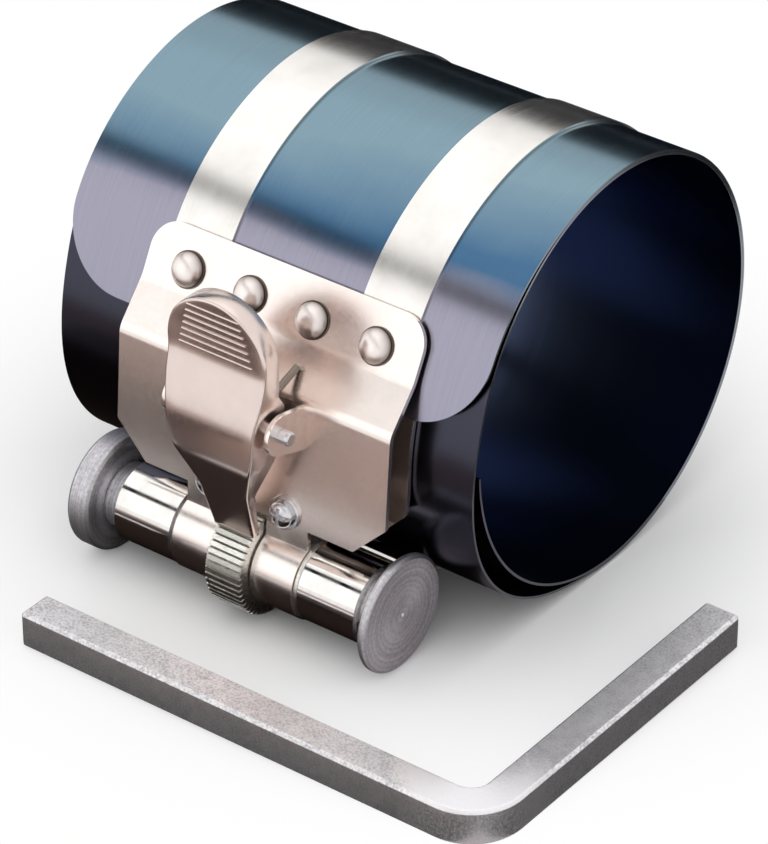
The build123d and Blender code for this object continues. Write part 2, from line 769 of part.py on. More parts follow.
def build_parts():
    """Every node's solid, by name."""
    parts = {
        "band_sheet": make_band_sheet(),
        "strap_left": make_strap(-1),
        "strap_right": make_strap(1),
        "bracket": make_bracket(),
        "lever_pin": make_lever_pin(),
        "release_lever": make_release_lever(),
        "torsion_spring": make_torsion_spring(),
        "winding_shaft": make_winding_shaft(),
        "socket_flange": make_socket_flange(),
        "ratchet_wheel": make_ratchet_wheel(),
        "spacer_ring": make_spacer_ring(),
        "strap_roll_left": make_strap_roll(-1),
        "strap_roll_right": make_strap_roll(1),
        "square_key": make_square_key(),
    }
    for i, x in enumerate(rivet_xs(), start=1):
        parts[f"bracket_rivet_{i}"] = make_rivet(x)
    for side, x in zip(("left", "right"), screw_xs()):
        parts[f"clamp_screw_{side}"] = make_clamp_screw(x)
        parts[f"clamp_washer_{side}"] = make_washer(x)
        parts[f"clamp_nut_{side}"] = make_nut(x)
    return parts


if __name__ == "__main__":
    os.makedirs("parts", exist_ok=True)
    for name, solid in build_parts().items():
        export_step(solid, f"parts/{name}.step")
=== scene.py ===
import json
import math

import bmesh
import bpy
from bpy.props import FloatProperty, FloatVectorProperty, IntProperty, PointerProperty
from mathutils import Matrix, Vector

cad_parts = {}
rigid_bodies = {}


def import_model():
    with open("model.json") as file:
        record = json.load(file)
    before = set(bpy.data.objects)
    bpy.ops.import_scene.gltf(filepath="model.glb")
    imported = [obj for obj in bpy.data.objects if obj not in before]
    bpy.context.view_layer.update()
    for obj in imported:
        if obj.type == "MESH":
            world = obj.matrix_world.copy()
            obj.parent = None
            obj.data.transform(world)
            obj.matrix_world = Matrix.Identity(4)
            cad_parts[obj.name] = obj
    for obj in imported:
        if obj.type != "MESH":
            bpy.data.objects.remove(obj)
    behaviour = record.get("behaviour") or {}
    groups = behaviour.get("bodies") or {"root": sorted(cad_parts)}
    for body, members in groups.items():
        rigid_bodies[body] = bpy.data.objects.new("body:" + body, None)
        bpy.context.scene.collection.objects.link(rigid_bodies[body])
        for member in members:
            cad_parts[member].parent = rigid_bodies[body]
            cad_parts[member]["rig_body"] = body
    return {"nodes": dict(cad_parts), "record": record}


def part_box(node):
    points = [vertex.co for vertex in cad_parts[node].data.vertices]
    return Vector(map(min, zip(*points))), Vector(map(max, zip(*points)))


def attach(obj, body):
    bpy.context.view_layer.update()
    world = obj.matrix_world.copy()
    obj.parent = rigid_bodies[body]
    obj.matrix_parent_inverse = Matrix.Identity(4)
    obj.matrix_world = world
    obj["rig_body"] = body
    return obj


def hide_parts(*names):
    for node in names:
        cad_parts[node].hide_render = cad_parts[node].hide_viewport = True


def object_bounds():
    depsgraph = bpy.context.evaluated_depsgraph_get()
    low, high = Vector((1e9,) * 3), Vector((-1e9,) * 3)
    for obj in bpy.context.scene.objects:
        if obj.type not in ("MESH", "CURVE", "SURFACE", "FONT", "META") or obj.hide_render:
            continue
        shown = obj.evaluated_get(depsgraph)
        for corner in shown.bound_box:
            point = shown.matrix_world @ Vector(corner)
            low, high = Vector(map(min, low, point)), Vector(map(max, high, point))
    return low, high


bl_info = {
    "name": "Piston ring compressor",
    "version": (1, 0, 0),
    "blender": (4, 5, 0),
    "location": "3D View > Sidebar > Ring Compressor",
    "description": "Finishes and small pieces of a ratcheting piston ring compressor",
    "category": "Object",
}

# X runs along the sleeve, +Y away from the winding mechanism, +Z up. The origin is the middle of the bore.
MM = 0.001

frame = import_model()
cad_low, cad_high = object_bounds()


# Places worked out from the frame

def node_span(node, direction):
    """Lowest and highest reach of a node's mesh along a direction, in metres."""
    along = [vertex.co.dot(direction) for vertex in frame["nodes"][node].data.vertices]
    return min(along), max(along)


def box_centre(node):
    low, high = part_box(node)
    return (low + high) / 2


half_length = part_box("band_sheet")[1].x
floor_z = cad_low.z
shaft_centre = box_centre("socket_flange")
lever_middle_x = box_centre("release_lever").x


# Colour and node helpers

def linear(colour):
    """Linear RGBA of an sRGB hex colour."""
    channels = [int(colour[i:i + 2], 16) / 255 for i in (1, 3, 5)]
    return tuple(c / 12.92 if c <= 0.04045 else ((c + 0.055) / 1.055) ** 2.4 for c in channels) + (1.0,)


class Value:
    """A node's output, so that the sums of a tree are written as sums."""

    def __init__(self, socket):
        self.socket = socket

    def by(self, operation, second=0.0, third=0.0):
        return maths(self.socket.id_data, operation, self, second, third)

    def __add__(self, other):
        return self.by("ADD", other)

    def __sub__(self, other):
        return self.by("SUBTRACT", other)

    def __rsub__(self, other):
        return maths(self.socket.id_data, "SUBTRACT", other, self)

    def __mul__(self, other):
        return self.by("MULTIPLY", other)

    def __truediv__(self, other):
        return self.by("DIVIDE", other)

    def __pow__(self, other):
        return self.by("POWER", other)


def connect(value, socket):
    """Links a node's output to a socket, or gives the socket a plain value."""
    if isinstance(value, Value):
        socket.id_data.links.new(value.socket, socket)
    else:
        socket.default_value = value


def add(tree, kind, inputs=None, **settings):
    """Adds a node with its settings, links and values."""
    node = tree.nodes.new(kind)
    for key, value in settings.items():
        setattr(node, key, value)
    for key, value in (inputs or {}).items():
        connect(value, node.inputs[key])
    return node


def made(tree, kind, inputs=None, output=0, **settings):
    """Adds a node and gives one of its outputs."""
    return Value(add(tree, kind, inputs, **settings).outputs[output])


def maths(tree, operation, first, second=0.0, third=0.0):
    return made(tree, "ShaderNodeMath", {0: first, 1: second, 2: third}, operation=operation)


def vector_maths(tree, operation, first, second=(0, 0, 0), output="Vector"):
    return made(tree, "ShaderNodeVectorMath", {0: first, 1: second}, output, operation=operation)


def length(tree, place):
    return vector_maths(tree, "LENGTH", place, output="Value")


def vector(tree, **parts):
    return made(tree, "ShaderNodeCombineXYZ", parts)


def split(tree, place):
    """X, Y and Z of a vector."""
    return [Value(part) for part in add(tree, "ShaderNodeSeparateXYZ", {"Vector": place}).outputs]


def remap(tree, value, low, high, to_low=0.0, to_high=1.0, smooth=False):
    """Value carried from one span to another and held at its ends."""
    spans = {"Value": value, "From Min": low, "From Max": high, "To Min": to_low, "To Max": to_high}
    return made(tree, "ShaderNodeMapRange", spans, interpolation_type="SMOOTHSTEP" if smooth else "LINEAR")


def opaque(colour):
    return (*colour, 1)[:4]


def mix(tree, factor, first, second):
    """A colour that goes from the first to the second by a factor."""
    node = add(tree, "ShaderNodeMix", data_type="RGBA")
    sockets = {socket.identifier: socket for socket in (*node.inputs, *node.outputs)}
    connect(factor, sockets["Factor_Float"])
    for name, colour in (("A_Color", first), ("B_Color", second)):
        connect(colour if isinstance(colour, Value) else opaque(colour), sockets[name])
    return Value(sockets["Result_Color"])


# Settings

def colour_property(name, description, default):
    return FloatVectorProperty(name=name, description=description, default=linear(default)[:3],
                               subtype="COLOR", min=0, max=1, size=3)


def angle_property(name, description, default_degrees):
    return FloatProperty(name=name, description=description, default=math.radians(default_degrees),
                         unit="ROTATION", subtype="ANGLE")


def length_property(name, description, default_mm):
    return FloatProperty(name=name, description=description, default=default_mm * MM,
                         unit="LENGTH", subtype="DISTANCE", precision=5, min=0)


class SleeveSettings(bpy.types.PropertyGroup):
    blue: colour_property("Blue", "Deepest heat colour of the blued spring steel", "#476B8C")
    # The teal and violet grey are laid on by height, which partly paints in the sleeve's reflections
    teal: colour_property("Teal", "Paler heat colour over the top of the sleeve", "#7D97A4")
    violet: colour_property("Violet grey", "Heat colour of the sheet's riveted end", "#9896A6")
    inside: colour_property("Inside", "Heat colour of the sheet's inner side", "#4F5B78")
    # Painted shade: darkens the outer turn under and below the riveted end, round the bulge and underneath
    lower_turn_shade: colour_property("Painted lower turn shade", "Darker oxide on the turn below the riveted end", "#454551")
    cut_edge: colour_property("Cut edge", "Bare steel on the sheared edges", "#868A92")
    # The real belt's lines are under 0.1 mm apart and would vanish, so they are drawn coarser
    grain: length_property("Grain", "Spacing of the brushed lines", 0.25)
    inner_radius: length_property("Inner turn", "Radius of the inner turn's middle line", 34.9)
    outer_radius: length_property("Outer turn", "Radius of the outer turn's middle line", 35.35)
    thickness: length_property("Thickness", "Thickness of the sheet", 0.4)
    bulge: length_property("Bulge", "Height of the bulge that the winding mechanism makes in front", 3.1)
    lift: length_property("Lift", "Rise of the sheet's riveted end to the bracket", 0.85)
    flare: length_property("Flare", "Outward flare of the sheet's riveted end", 1.4)
    corner: length_property("Corner radius", "Rounding of the riveted end's corners", 12.0)
    start: angle_property("Start", "Band angle of the inner end", -2.0)
    end: angle_property("End", "Band angle of the riveted end, counted on round the turns", -710.5)


class StrapSettings(bpy.types.PropertyGroup):
    steel: colour_property("Strap", "Colour of the bright straps", "#F2EFEB")
    thickness: length_property("Thickness", "Thickness of the strip", 0.4)
    gap: length_property("Gap", "Gap between the strip and the sheet", 0.05)
    start: angle_property("Start", "Band angle where a strap leaves the sleeve for its roll", -408.65)
    end: angle_property("End", "Band angle of the riveted end", -705.0)


class BracketSettings(bpy.types.PropertyGroup):
    nickel: colour_property("Nickel", "Colour of the satin nickel plate", "#FDF2EC")
    # A darker copy of the nickel for the lever: painted shade
    lever_shade: colour_property("Lever nickel, painted shade", "Colour of the lever's nickel plate", "#EADAD3")
    edge: length_property("Edge radius", "Rounding of the bracket's sheared edges", 0.15)
    fold: length_property("Fold", "Width over which the bracket's shallow folds are rounded", 2.5)
    lever_sheet: length_property("Lever sheet", "Thickness of the pressed lever", 0.9)
    rim: length_property("Lever rim radius", "Rounding of the pressed lever's outer rim", 0.5)
    ribs: IntProperty(name="Ribs", description="Number of ribs on the pad", default=7, min=2)
    rib_radius: length_property("Rib radius", "Radius of a rib's rounded back", 0.15)
    first_rib: length_property("First rib", "Length of the top rib", 9.8)
    last_rib: length_property("Last rib", "Length of the bottom rib", 13.9)


class RivetSettings(bpy.types.PropertyGroup):
    crown: colour_property("Crown", "Colour of a rivet's rubbed crown", "#FBF1EC")
    # Painted shade: darkens each dome towards its foot
    foot: colour_property("Foot", "Colour of the painted shade round a rivet's foot", "#4E423C")
    count: IntProperty(name="Rivets", description="Number of rivets in the row", default=4, min=1)
    radius: length_property("Head radius", "Radius of a rivet's dome", 2.8)
    height: length_property("Head height", "Height of a rivet's head", 2.1)
    rim_radius: length_property("Rim radius", "Radius of the flat rim under the dome", 3.0)
    rim_height: length_property("Rim height", "Height of the flat rim", 0.3)
    tilt: angle_property("Seat tilt", "Upward tilt of the bracket's seat", 27.6)


class ScrewSettings(bpy.types.PropertyGroup):
    zinc: colour_property("Zinc", "Colour of the plated fasteners", "#DCDCE0")
    radius: length_property("Head radius", "Radius of a clamp screw's head", 2.15)
    height: length_property("Head height", "Height of a clamp screw's head", 1.5)
    recess: length_property("Recess width", "Width of the cross recess", 0.62)
    shank: length_property("Shank radius", "Radius of a clamp screw's thread", 1.45)
    tilt: angle_property("Neck tilt", "Upward tilt of the bracket's neck", 4.464)


class SpringSettings(bpy.types.PropertyGroup):
    wire: colour_property("Wire", "Colour of the spring wire", "#85796F")
    wire_radius: length_property("Wire radius", "Radius of the spring's wire", 0.6)
    radius: length_property("Coil radius", "Radius of the coil's middle line", 2.1)
    pitch: length_property("Pitch", "Advance of the coil in one turn", 1.3)
    turns: FloatProperty(name="Turns", description="Turns of the coil", default=3.76, min=0.1)
    first_angle: angle_property("First angle", "Place round the pin where the coil begins", 30.0)
    lever_leg: length_property("Lever leg", "Length of the leg behind the pad", 6.0)
    plate_leg: length_property("Plate leg", "Length of the leg on the bracket", 10.6)


class ShaftSettings(bpy.types.PropertyGroup):
    steel: colour_property("Turned steel", "Colour of the shaft's head and collar", "#E4E2E6")
    wheel: colour_property("Milled steel", "Colour of the ratchet wheel", "#EDEEE8")
    teeth: IntProperty(name="Teeth", description="Number of teeth on the ratchet wheel", default=52, min=8)
    tooth_depth: length_property("Tooth depth", "Depth of a ratchet tooth", 0.7)
    tooth_rise: FloatProperty(name="Tooth rise", description="Share of the pitch on a tooth's steep side",
                              default=0.12, min=0, max=1)
    tooth_land: FloatProperty(name="Tooth land", description="Share of the pitch where a tooth's crest ends",
                              default=0.78, min=0, max=1)
    tooth_chamfer: length_property("Tooth chamfer", "Bevel at the two ends of the teeth", 0.22)
    bore: length_property("Wheel bore", "Radius of the ratchet wheel's bore", 6.02)
    ring_pitch: length_property("Turning lines", "Spacing of the lathe's lines on the flat faces", 0.42)
    edge: length_property("Edge radius", "Rounding of the turned edges", 0.2)


class KeySettings(bpy.types.PropertyGroup):
    steel: colour_property("Key steel", "Colour of the zinc-plated key", "#F6F4F6")
    # The real plating's grains are about 0.1 mm across and would vanish, so they are drawn coarser
    grit: length_property("Grit", "Size of the plated surface's grains", 0.4)
    bend: length_property("Bend", "Outer radius of the key's bend", 9.3)
    relief: length_property("Relief", "Depth of the plated surface's grain", 0.016)
    slope: FloatProperty(name="Bend slope", default=0.16,
                         description="Outward fall of the key's top round its bend")
    edge: length_property("Edge radius", "Rounding of the key's bevelled edges", 0.12)


class StageSettings(bpy.types.PropertyGroup):
    floor: colour_property("Floor", "Colour of the pale floor", "#FBFBFB")
    azimuth: angle_property("Azimuth", "Camera's turn from the front", 37.309)
    elevation: angle_property("Elevation", "Camera's height above the horizon", 33.390)
    roll: angle_property("Roll", "Camera's roll", -0.124)
    distance: length_property("Distance", "Camera's distance from its aim", 762.0)
    lens: FloatProperty(name="Lens", description="Focal length for a 36 mm frame", default=206.84, min=1)


SETTINGS = {"sleeve": SleeveSettings, "straps": StrapSettings, "bracket": BracketSettings,
            "rivets": RivetSettings, "screws": ScrewSettings, "spring": SpringSettings,
            "shaft": ShaftSettings, "key": KeySettings, "stage": StageSettings}


def settings(group):
    return getattr(bpy.context.scene, "compressor_" + group)


# Vertices closer than this are one. Only folds longer than this and between these angles are rounded.
WELD = 0.001 * MM
LONG_FOLD = 20 * MM
SHALLOW = (math.radians(5), math.radians(20))

# The lever's lines in millimetres: height above the pin, then distance in front of the pin or half width
LEVER_FACE = ((-21.6, -0.6), (-13.2, 1.9), (-6.2, 4.6), (-3.0, 4.8), (-0.5, 4.95), (1.0, 4.9), (3.0, 4.55),
              (9.6, 2.75), (10.8, 2.6), (15.3, 2.75), (21.3, 3.3))
LEVER_BACK = ((-21.6, -2.0), (-13.6, -0.4), (-3.6, -2.6), (3.6, -2.6), (5.9, -0.9), (21.3, -0.5))
LEVER_HALF = ((-21.6, 3.9), (-13.2, 4.6), (-6.2, 7.4), (-2.7, 8.2), (2.3, 8.6), (6.3, 9.15), (12.2, 9.4))
# Height either side over which those lines are averaged, and the pad's top and bottom ribs above the pin
LEVER_BLUR = 0.8
RIB_HEIGHTS = (19.2, 11.8)


# Finishes

def shaded(name, surface):
    """A material whose surface is made by a function of its tree."""
    material = bpy.data.materials.new(name)
    material.use_nodes = True
    tree = material.node_tree
    tree.nodes.clear()
    add(tree, "ShaderNodeOutputMaterial", {"Surface": surface(tree)})
    return material


def metal(name, colour, roughness, **inputs):
    """A bare metal material; returns it with its tree, its shader and its Object coordinates."""
    look = {"Base Color": opaque(colour), "Metallic": 1.0, "Roughness": roughness, **inputs}
    material = shaded(name, lambda tree: made(tree, "ShaderNodeBsdfPrincipled", look))
    tree = material.node_tree
    shader = next(node for node in tree.nodes if node.type == "BSDF_PRINCIPLED")
    return material, tree, shader, made(tree, "ShaderNodeTexCoord", output="Object")


def noise(tree, place, size, stretch=(1, 1, 1), detail=3.0):
    """Noise whose features are size metres across, stretched along each axis."""
    scale = tuple(1 / (size * share) for share in stretch)
    spot = made(tree, "ShaderNodeMapping", {"Vector": place, "Scale": scale})
    return made(tree, "ShaderNodeTexNoise", {"Vector": spot, "Scale": 1.0, "Detail": detail}, "Fac")


def tint(shader, pattern, low, high, share, first, second):
    """Base colour that goes a share of the way to a second one as a pattern goes from low to high."""
    tree = shader.id_data
    connect(mix(tree, remap(tree, pattern, low, high, 0, share), first, second), shader.inputs["Base Color"])


def shine(shader, pattern, least, most):
    """Roughness that wanders with a pattern."""
    connect(remap(shader.id_data, pattern, 0.3, 0.7, least, most), shader.inputs["Roughness"])


def bump(shader, height, depth):
    """Relief of a depth in metres, from a height between 0 and 1."""
    relief = {"Height": height, "Distance": depth, "Strength": 1.0}
    connect(made(shader.id_data, "ShaderNodeBump", relief), shader.inputs["Normal"])


def beside_axis(tree, place, centre=(0.0, 0.0, 0.0)):
    """Vector from the X line through a centre out to the surface."""
    return vector_maths(tree, "MULTIPLY", vector_maths(tree, "SUBTRACT", place, tuple(centre)), (0, 1, 1))


def facing_out(tree, place):
    """1 where the surface faces away from the bore's axis, -1 where it faces the axis, 0 on cut edges."""
    out = vector_maths(tree, "NORMALIZE", beside_axis(tree, place))
    facing = made(tree, "ShaderNodeNewGeometry", output="True Normal")
    return vector_maths(tree, "DOT_PRODUCT", out, facing, "Value")


def blued_spring_steel():
    """Blued spring steel, belt-ground round the sleeve and then heat-blued: a soft steel-blue mirror that
    turns violet grey on its lower part, over its riveted end, and teal towards the top and the left. These
    height zones partly paint in the sleeve's reflections, and a painted shade darkens the turn under and
    below the riveted end. The inner side keeps a dark heat colour of its own, the sheared edges are bare."""
    look = settings("sleeve")
    material, tree, shader, place = metal("blued_spring_steel", look.blue, 0.2)
    grain = noise(tree, place, look.grain, (1, 60, 60), 4.0)
    x, _, z = split(tree, place)
    # Painted reflection, in part: the heat colours are laid by height, violet grey low down and teal towards
    # the top and the left, in the bands where the light falls on the sleeve
    height = noise(tree, place, 16 * MM, (2, 1, 1)) * (6 * MM) + z
    pale = mix(tree, remap(tree, height - x * 0.06, 29 * MM, 36 * MM), look.blue, look.teal)
    zoned_by_height = mix(tree, remap(tree, height, 26 * MM, 29 * MM, 1, 0), pale, look.violet)
    # Painted shade between band angles of -320 and -500 degrees: the turn under and below the riveted end,
    # round the bulge and underneath
    turn = made(tree, "ShaderNodeAttribute", output="Fac", attribute_name="sheet_angle")
    past_lip = remap(tree, turn, math.radians(-560), math.radians(-500))
    before_step = remap(tree, turn, math.radians(-300), math.radians(-320))
    shaded_lower_turn = mix(tree, past_lip * before_step, zoned_by_height, look.lower_turn_shade)
    ground = mix(tree, remap(tree, grain, 0.35, 0.7, 0, 0.06), shaded_lower_turn, linear("#3C5266"))
    out = facing_out(tree, place)
    cut = mix(tree, out.by("GREATER_THAN", 0.5), look.cut_edge, ground)
    connect(mix(tree, out.by("LESS_THAN", -0.5), cut, look.inside), shader.inputs["Base Color"])
    shine(shader, grain, 0.19, 0.23)
    bump(shader, grain, 0.0006 * MM)
    return material


def bright_strap_steel():
    """Bright rolled spring-steel strip, near white in the light, with a satin grain along its length."""
    look = settings("straps")
    material, tree, shader, place = metal("bright_strap_steel", look.steel, 0.22)
    grain = noise(tree, place, settings("sleeve").grain, (1, 50, 50), 4.0)
    tint(shader, noise(tree, place, 7 * MM), 0.4, 0.7, 0.4, look.steel, linear("#D9D4CD"))
    shine(shader, grain, 0.21, 0.26)
    bump(shader, grain, 0.0004 * MM)
    return material


def polished_roll_steel():
    """The straps' wound ends, polished by rubbing as they wind: the same steel with sharper reflections."""
    look = settings("straps")
    material, tree, shader, place = metal("polished_roll_steel", look.steel, 0.1)
    cloud = noise(tree, place, 3 * MM)
    tint(shader, cloud, 0.4, 0.7, 0.3, look.steel, linear("#C8BFB8"))
    shine(shader, cloud, 0.07, 0.15)
    return material


def satin_nickel(name, colour):
    """Satin nickel of a colour over pressed sheet: a soft shine with a faint grit and faint clouds."""
    material, tree, shader, place = metal(name, colour, 0.24)
    grit = noise(tree, place, 0.6 * MM, detail=2.0)
    dull = [channel * 0.82 for channel in colour]
    tint(shader, noise(tree, place, 5 * MM), 0.35, 0.7, 0.3, colour, dull)
    shine(shader, grit, 0.21, 0.26)
    bump(shader, grit, 0.0006 * MM)
    return material


def nickel_plate():
    """Satin nickel over pressed sheet steel: a warm, slightly uneven shine."""
    return satin_nickel("nickel_plate", settings("bracket").nickel)


def shaded_lever_nickel():
    """The lever's nickel: the same warm shine in a copy a shade darker, a painted shade that stands in for
    the lever's darker reflections.
    """
    return satin_nickel("shaded_lever_nickel", settings("bracket").lever_shade)


def tumbled_rivet_steel():
    """Tumbled and plated rivets with bright crowns, darkened towards their feet by a painted shade."""
    look = settings("rivets")
    material, tree, shader, place = metal("tumbled_rivet_steel", look.crown, 0.32)
    cloud = noise(tree, place, 1.2 * MM)
    up_the_head = made(tree, "ShaderNodeAttribute", output="Fac", attribute_name="head_height")
    # Painted shade from the crown down to the foot of each dome
    tint(shader, up_the_head, 0.1, 0.85, 1, look.foot, look.crown)
    shine(shader, cloud, 0.28, 0.38)
    bump(shader, cloud, 0.02 * MM)
    return material


def turned_steel():
    """Free-cutting steel, turned on a lathe: grey faces whose uneven concentric lines fan the light out."""
    look = settings("shaft")
    material, tree, shader, place = metal("turned_steel", look.steel, 0.44, Anisotropic=0.5)
    radius = length(tree, beside_axis(tree, place, shaft_centre))
    rings = noise(tree, vector(tree, X=radius, Y=split(tree, place)[0]), look.ring_pitch)
    grit = noise(tree, place, 0.5 * MM, detail=4.0)
    height = grit * 0.6 + rings
    tint(shader, height, 0.6, 1.0, 0.8, look.steel, linear("#A7A4AA"))
    shine(shader, grit, 0.38, 0.52)
    connect(made(tree, "ShaderNodeTangent", direction_type="RADIAL", axis="X"), shader.inputs["Tangent"])
    bump(shader, height, 0.02 * MM)
    return material


def milled_steel():
    """Milled and tumbled steel: pale, with a fine frosted shine."""
    look = settings("shaft")
    material, tree, shader, place = metal("milled_steel", look.wheel, 0.3)
    grit = noise(tree, place, 0.35 * MM, (3, 1, 1), 4.0)
    tint(shader, grit, 0.35, 0.7, 0.6, look.wheel, linear("#C9BFBA"))
    shine(shader, grit, 0.24, 0.38)
    bump(shader, grit, 0.008 * MM)
    return material


def zinc_fasteners():
    """Bright zinc plate on small steel fasteners: cool, near mirror, a little cloudy."""
    look = settings("screws")
    material, tree, shader, place = metal("zinc_fasteners", look.zinc, 0.16)
    cloud = noise(tree, place, 0.8 * MM)
    tint(shader, cloud, 0.35, 0.7, 0.5, look.zinc, linear("#B4B5B8"))
    shine(shader, cloud, 0.1, 0.22)
    bump(shader, cloud, 0.008 * MM)
    return material


def spring_wire():
    """Drawn spring wire, oiled: dull warm grey."""
    material, tree, shader, place = metal("spring_wire", settings("spring").wire, 0.28)
    grit = noise(tree, place, 0.5 * MM)
    shine(shader, grit, 0.22, 0.34)
    bump(shader, grit, 0.004 * MM)
    return material


def zinc_key_steel():
    """Cold-drawn square bar plated with dull zinc: an even grey grain that fades out round the bend, so the
    bend is paler.
    """
    look = settings("key")
    material, tree, shader, place = metal("zinc_key_steel", look.steel, 0.45)
    low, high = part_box("square_key")
    bend = (high.x - look.bend, low.y + look.bend, 0)
    from_bend = vector_maths(tree, "SUBTRACT", place, bend)
    away = length(tree, vector_maths(tree, "MULTIPLY", from_bend, (1, 1, 0)))
    # Round the bend the grey speckle fades out, so the bend is paler
    brighter = remap(tree, away, look.bend * 0.95, look.bend * 1.25, 1, 0)
    grains = noise(tree, place, look.grit, detail=5.0)
    blotches = noise(tree, place, look.grit * 4, detail=2.0)
    height = blotches * 0.35 + grains
    speckle = remap(tree, height, 0.55, 0.95, 0, 0.8) * (1 - brighter)
    connect(mix(tree, speckle, look.steel, linear("#A3A1A4")), shader.inputs["Base Color"])
    shine(shader, grains, 0.38, 0.56)
    crown = (look.bend * 1.3 - away) * (look.slope / look.relief)
    bump(shader, crown.by("MAXIMUM") + height, look.relief)
    return material


FINISHES = {make.__name__: make for make in (
    blued_spring_steel, bright_strap_steel, polished_roll_steel, nickel_plate, shaded_lever_nickel,
    tumbled_rivet_steel, turned_steel, milled_steel, zinc_fasteners, spring_wire, zinc_key_steel)}


def finish(name):
    """The procedural material of that name, made once; the frame's plain one of that name isn't used."""
    own_name = "finish_" + name
    if own_name not in bpy.data.materials:
        FINISHES[name]().name = own_name
    return bpy.data.materials[own_name]


def tilted(tilt):
    """Outward and upward directions of a front face that is tilted back by an angle."""
    return Vector((0, -math.cos(tilt), math.sin(tilt))), Vector((0, math.sin(tilt), math.cos(tilt)))


def node_slot(node):
    """The record's material slot of a node."""
    return next(part["material_slot"] for part in frame["record"]["subparts"] if part["node"] == node)


def body_of(node):
    return frame["nodes"][node]["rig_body"]


def paint(*nodes, look=None):
    """Gives CAD nodes the procedural material of their slot, or a named one."""
    for node in nodes:
        for slot in frame["nodes"][node].material_slots:
            slot.material = finish(look or node_slot(node))


# Pieces

def carrying(data, name="carrier"):
    """An object in the scene that carries a mesh, lamp or camera."""
    carrier = bpy.data.objects.new(name, data)
    bpy.context.scene.collection.objects.link(carrier)
    return carrier


def new_piece(name, mesh, material, body, slot, *nodes):
    """A finished piece that rides on a body and stands for CAD nodes."""
    piece = carrying(mesh, name)
    mesh.name = name
    mesh.materials.clear()
    mesh.materials.append(material)
    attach(piece, body)
    if nodes:
        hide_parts(*nodes)


def evaluated_mesh(carrier):
    """The carrier's mesh with its modifiers applied; the carrier is removed."""
    bpy.context.view_layer.update()
    graph = bpy.context.evaluated_depsgraph_get()
    mesh = bpy.data.meshes.new_from_object(carrier.evaluated_get(graph), preserve_all_data_layers=True,
                                           depsgraph=graph)
    bpy.data.objects.remove(carrier)
    return mesh


def with_shape(mesh, *steps):
    """Puts a mesh through steps of editing."""
    shape = bmesh.new()
    shape.from_mesh(mesh)
    for step in steps:
        step(shape)
    shape.to_mesh(mesh)
    shape.free()


def weld(shape):
    bmesh.ops.remove_doubles(shape, verts=shape.verts, dist=WELD)


def smoothed(mesh, sharp):
    """Smooth shading, broken at edges sharper than an angle in degrees."""
    mesh.shade_smooth()
    mesh.set_sharp_from_angle(angle=math.radians(sharp))
    return mesh


def bevelled(carrier, width, segments, sharp):
    """Breaks the edges that are sharper than an angle in degrees."""
    bevel = carrier.modifiers.new("Edges", "BEVEL")
    bevel.width = width
    bevel.segments = segments
    bevel.limit_method = "ANGLE"
    bevel.angle_limit = math.radians(sharp)


def soft_edged(node, edge, sharp=30.0, bend=0.0):
    """A merged copy of a CAD node with its edges broken and its long shallow folds rounded over bend."""
    def merge_flats(shape):
        bmesh.ops.dissolve_limit(shape, angle_limit=math.radians(0.5), verts=shape.verts, edges=shape.edges)
        for face in shape.faces:
            face.smooth = True

    def mark_folds(shape):
        weights = shape.edges.layers.float.new("bevel_weight_edge")
        for line in shape.edges:
            if bend and len(line.link_faces) == 2 and line.calc_length() > LONG_FOLD:
                line[weights] = float(SHALLOW[0] < line.calc_face_angle() < SHALLOW[1])

    mesh = frame["nodes"][node].data.copy()
    if "custom_normal" in mesh.attributes:
        mesh.attributes.remove(mesh.attributes["custom_normal"])
    with_shape(mesh, weld, merge_flats, mark_folds)
    carrier = carrying(mesh)
    if bend:
        fold = carrier.modifiers.new("Folds", "BEVEL")
        fold.width = bend
        fold.segments = 6
        fold.limit_method = "WEIGHT"
    bevelled(carrier, edge, 2, sharp)
    carrier.modifiers.new("Flat faces", "WEIGHTED_NORMAL").weight = 90
    slot = node_slot(node)
    new_piece(node + "_finished", evaluated_mesh(carrier), finish(slot), body_of(node), slot, node)


def along(line, height, blur=0.0):
    """Value of a line of (height, value) points, averaged over blur either side."""
    total = 0.0
    for share in (-1, -0.5, 0, 0.5, 1):
        spot = min(max(height + blur * share, line[0][0]), line[-1][0])
        for (low, first), (high, last) in zip(line, line[1:]):
            if low <= spot <= high:
                total += first + (last - first) * (spot - low) / (high - low)
                break
    return total / 5


def lever_outline(step=0.5, turns=18):
    """Right-hand outline from the pawl up to the pad's top, as (half width, height, inward x, inward z)."""
    top, half = LEVER_FACE[-1][0], LEVER_HALF[-1][1]
    middle = top - half
    count = round((middle - LEVER_HALF[0][0]) / step)
    spots = []
    for i in range(count):
        z = LEVER_HALF[0][0] + (middle - LEVER_HALF[0][0]) * i / count
        spots.append((along(LEVER_HALF, z, LEVER_BLUR), z, -1.0, 0.0))
    for i in range(turns + 1):
        turn = math.pi / 2 * i / turns
        spots.append((half * math.cos(turn), middle + half * math.sin(turn),
                      -math.cos(turn), -math.sin(turn)))
    return spots


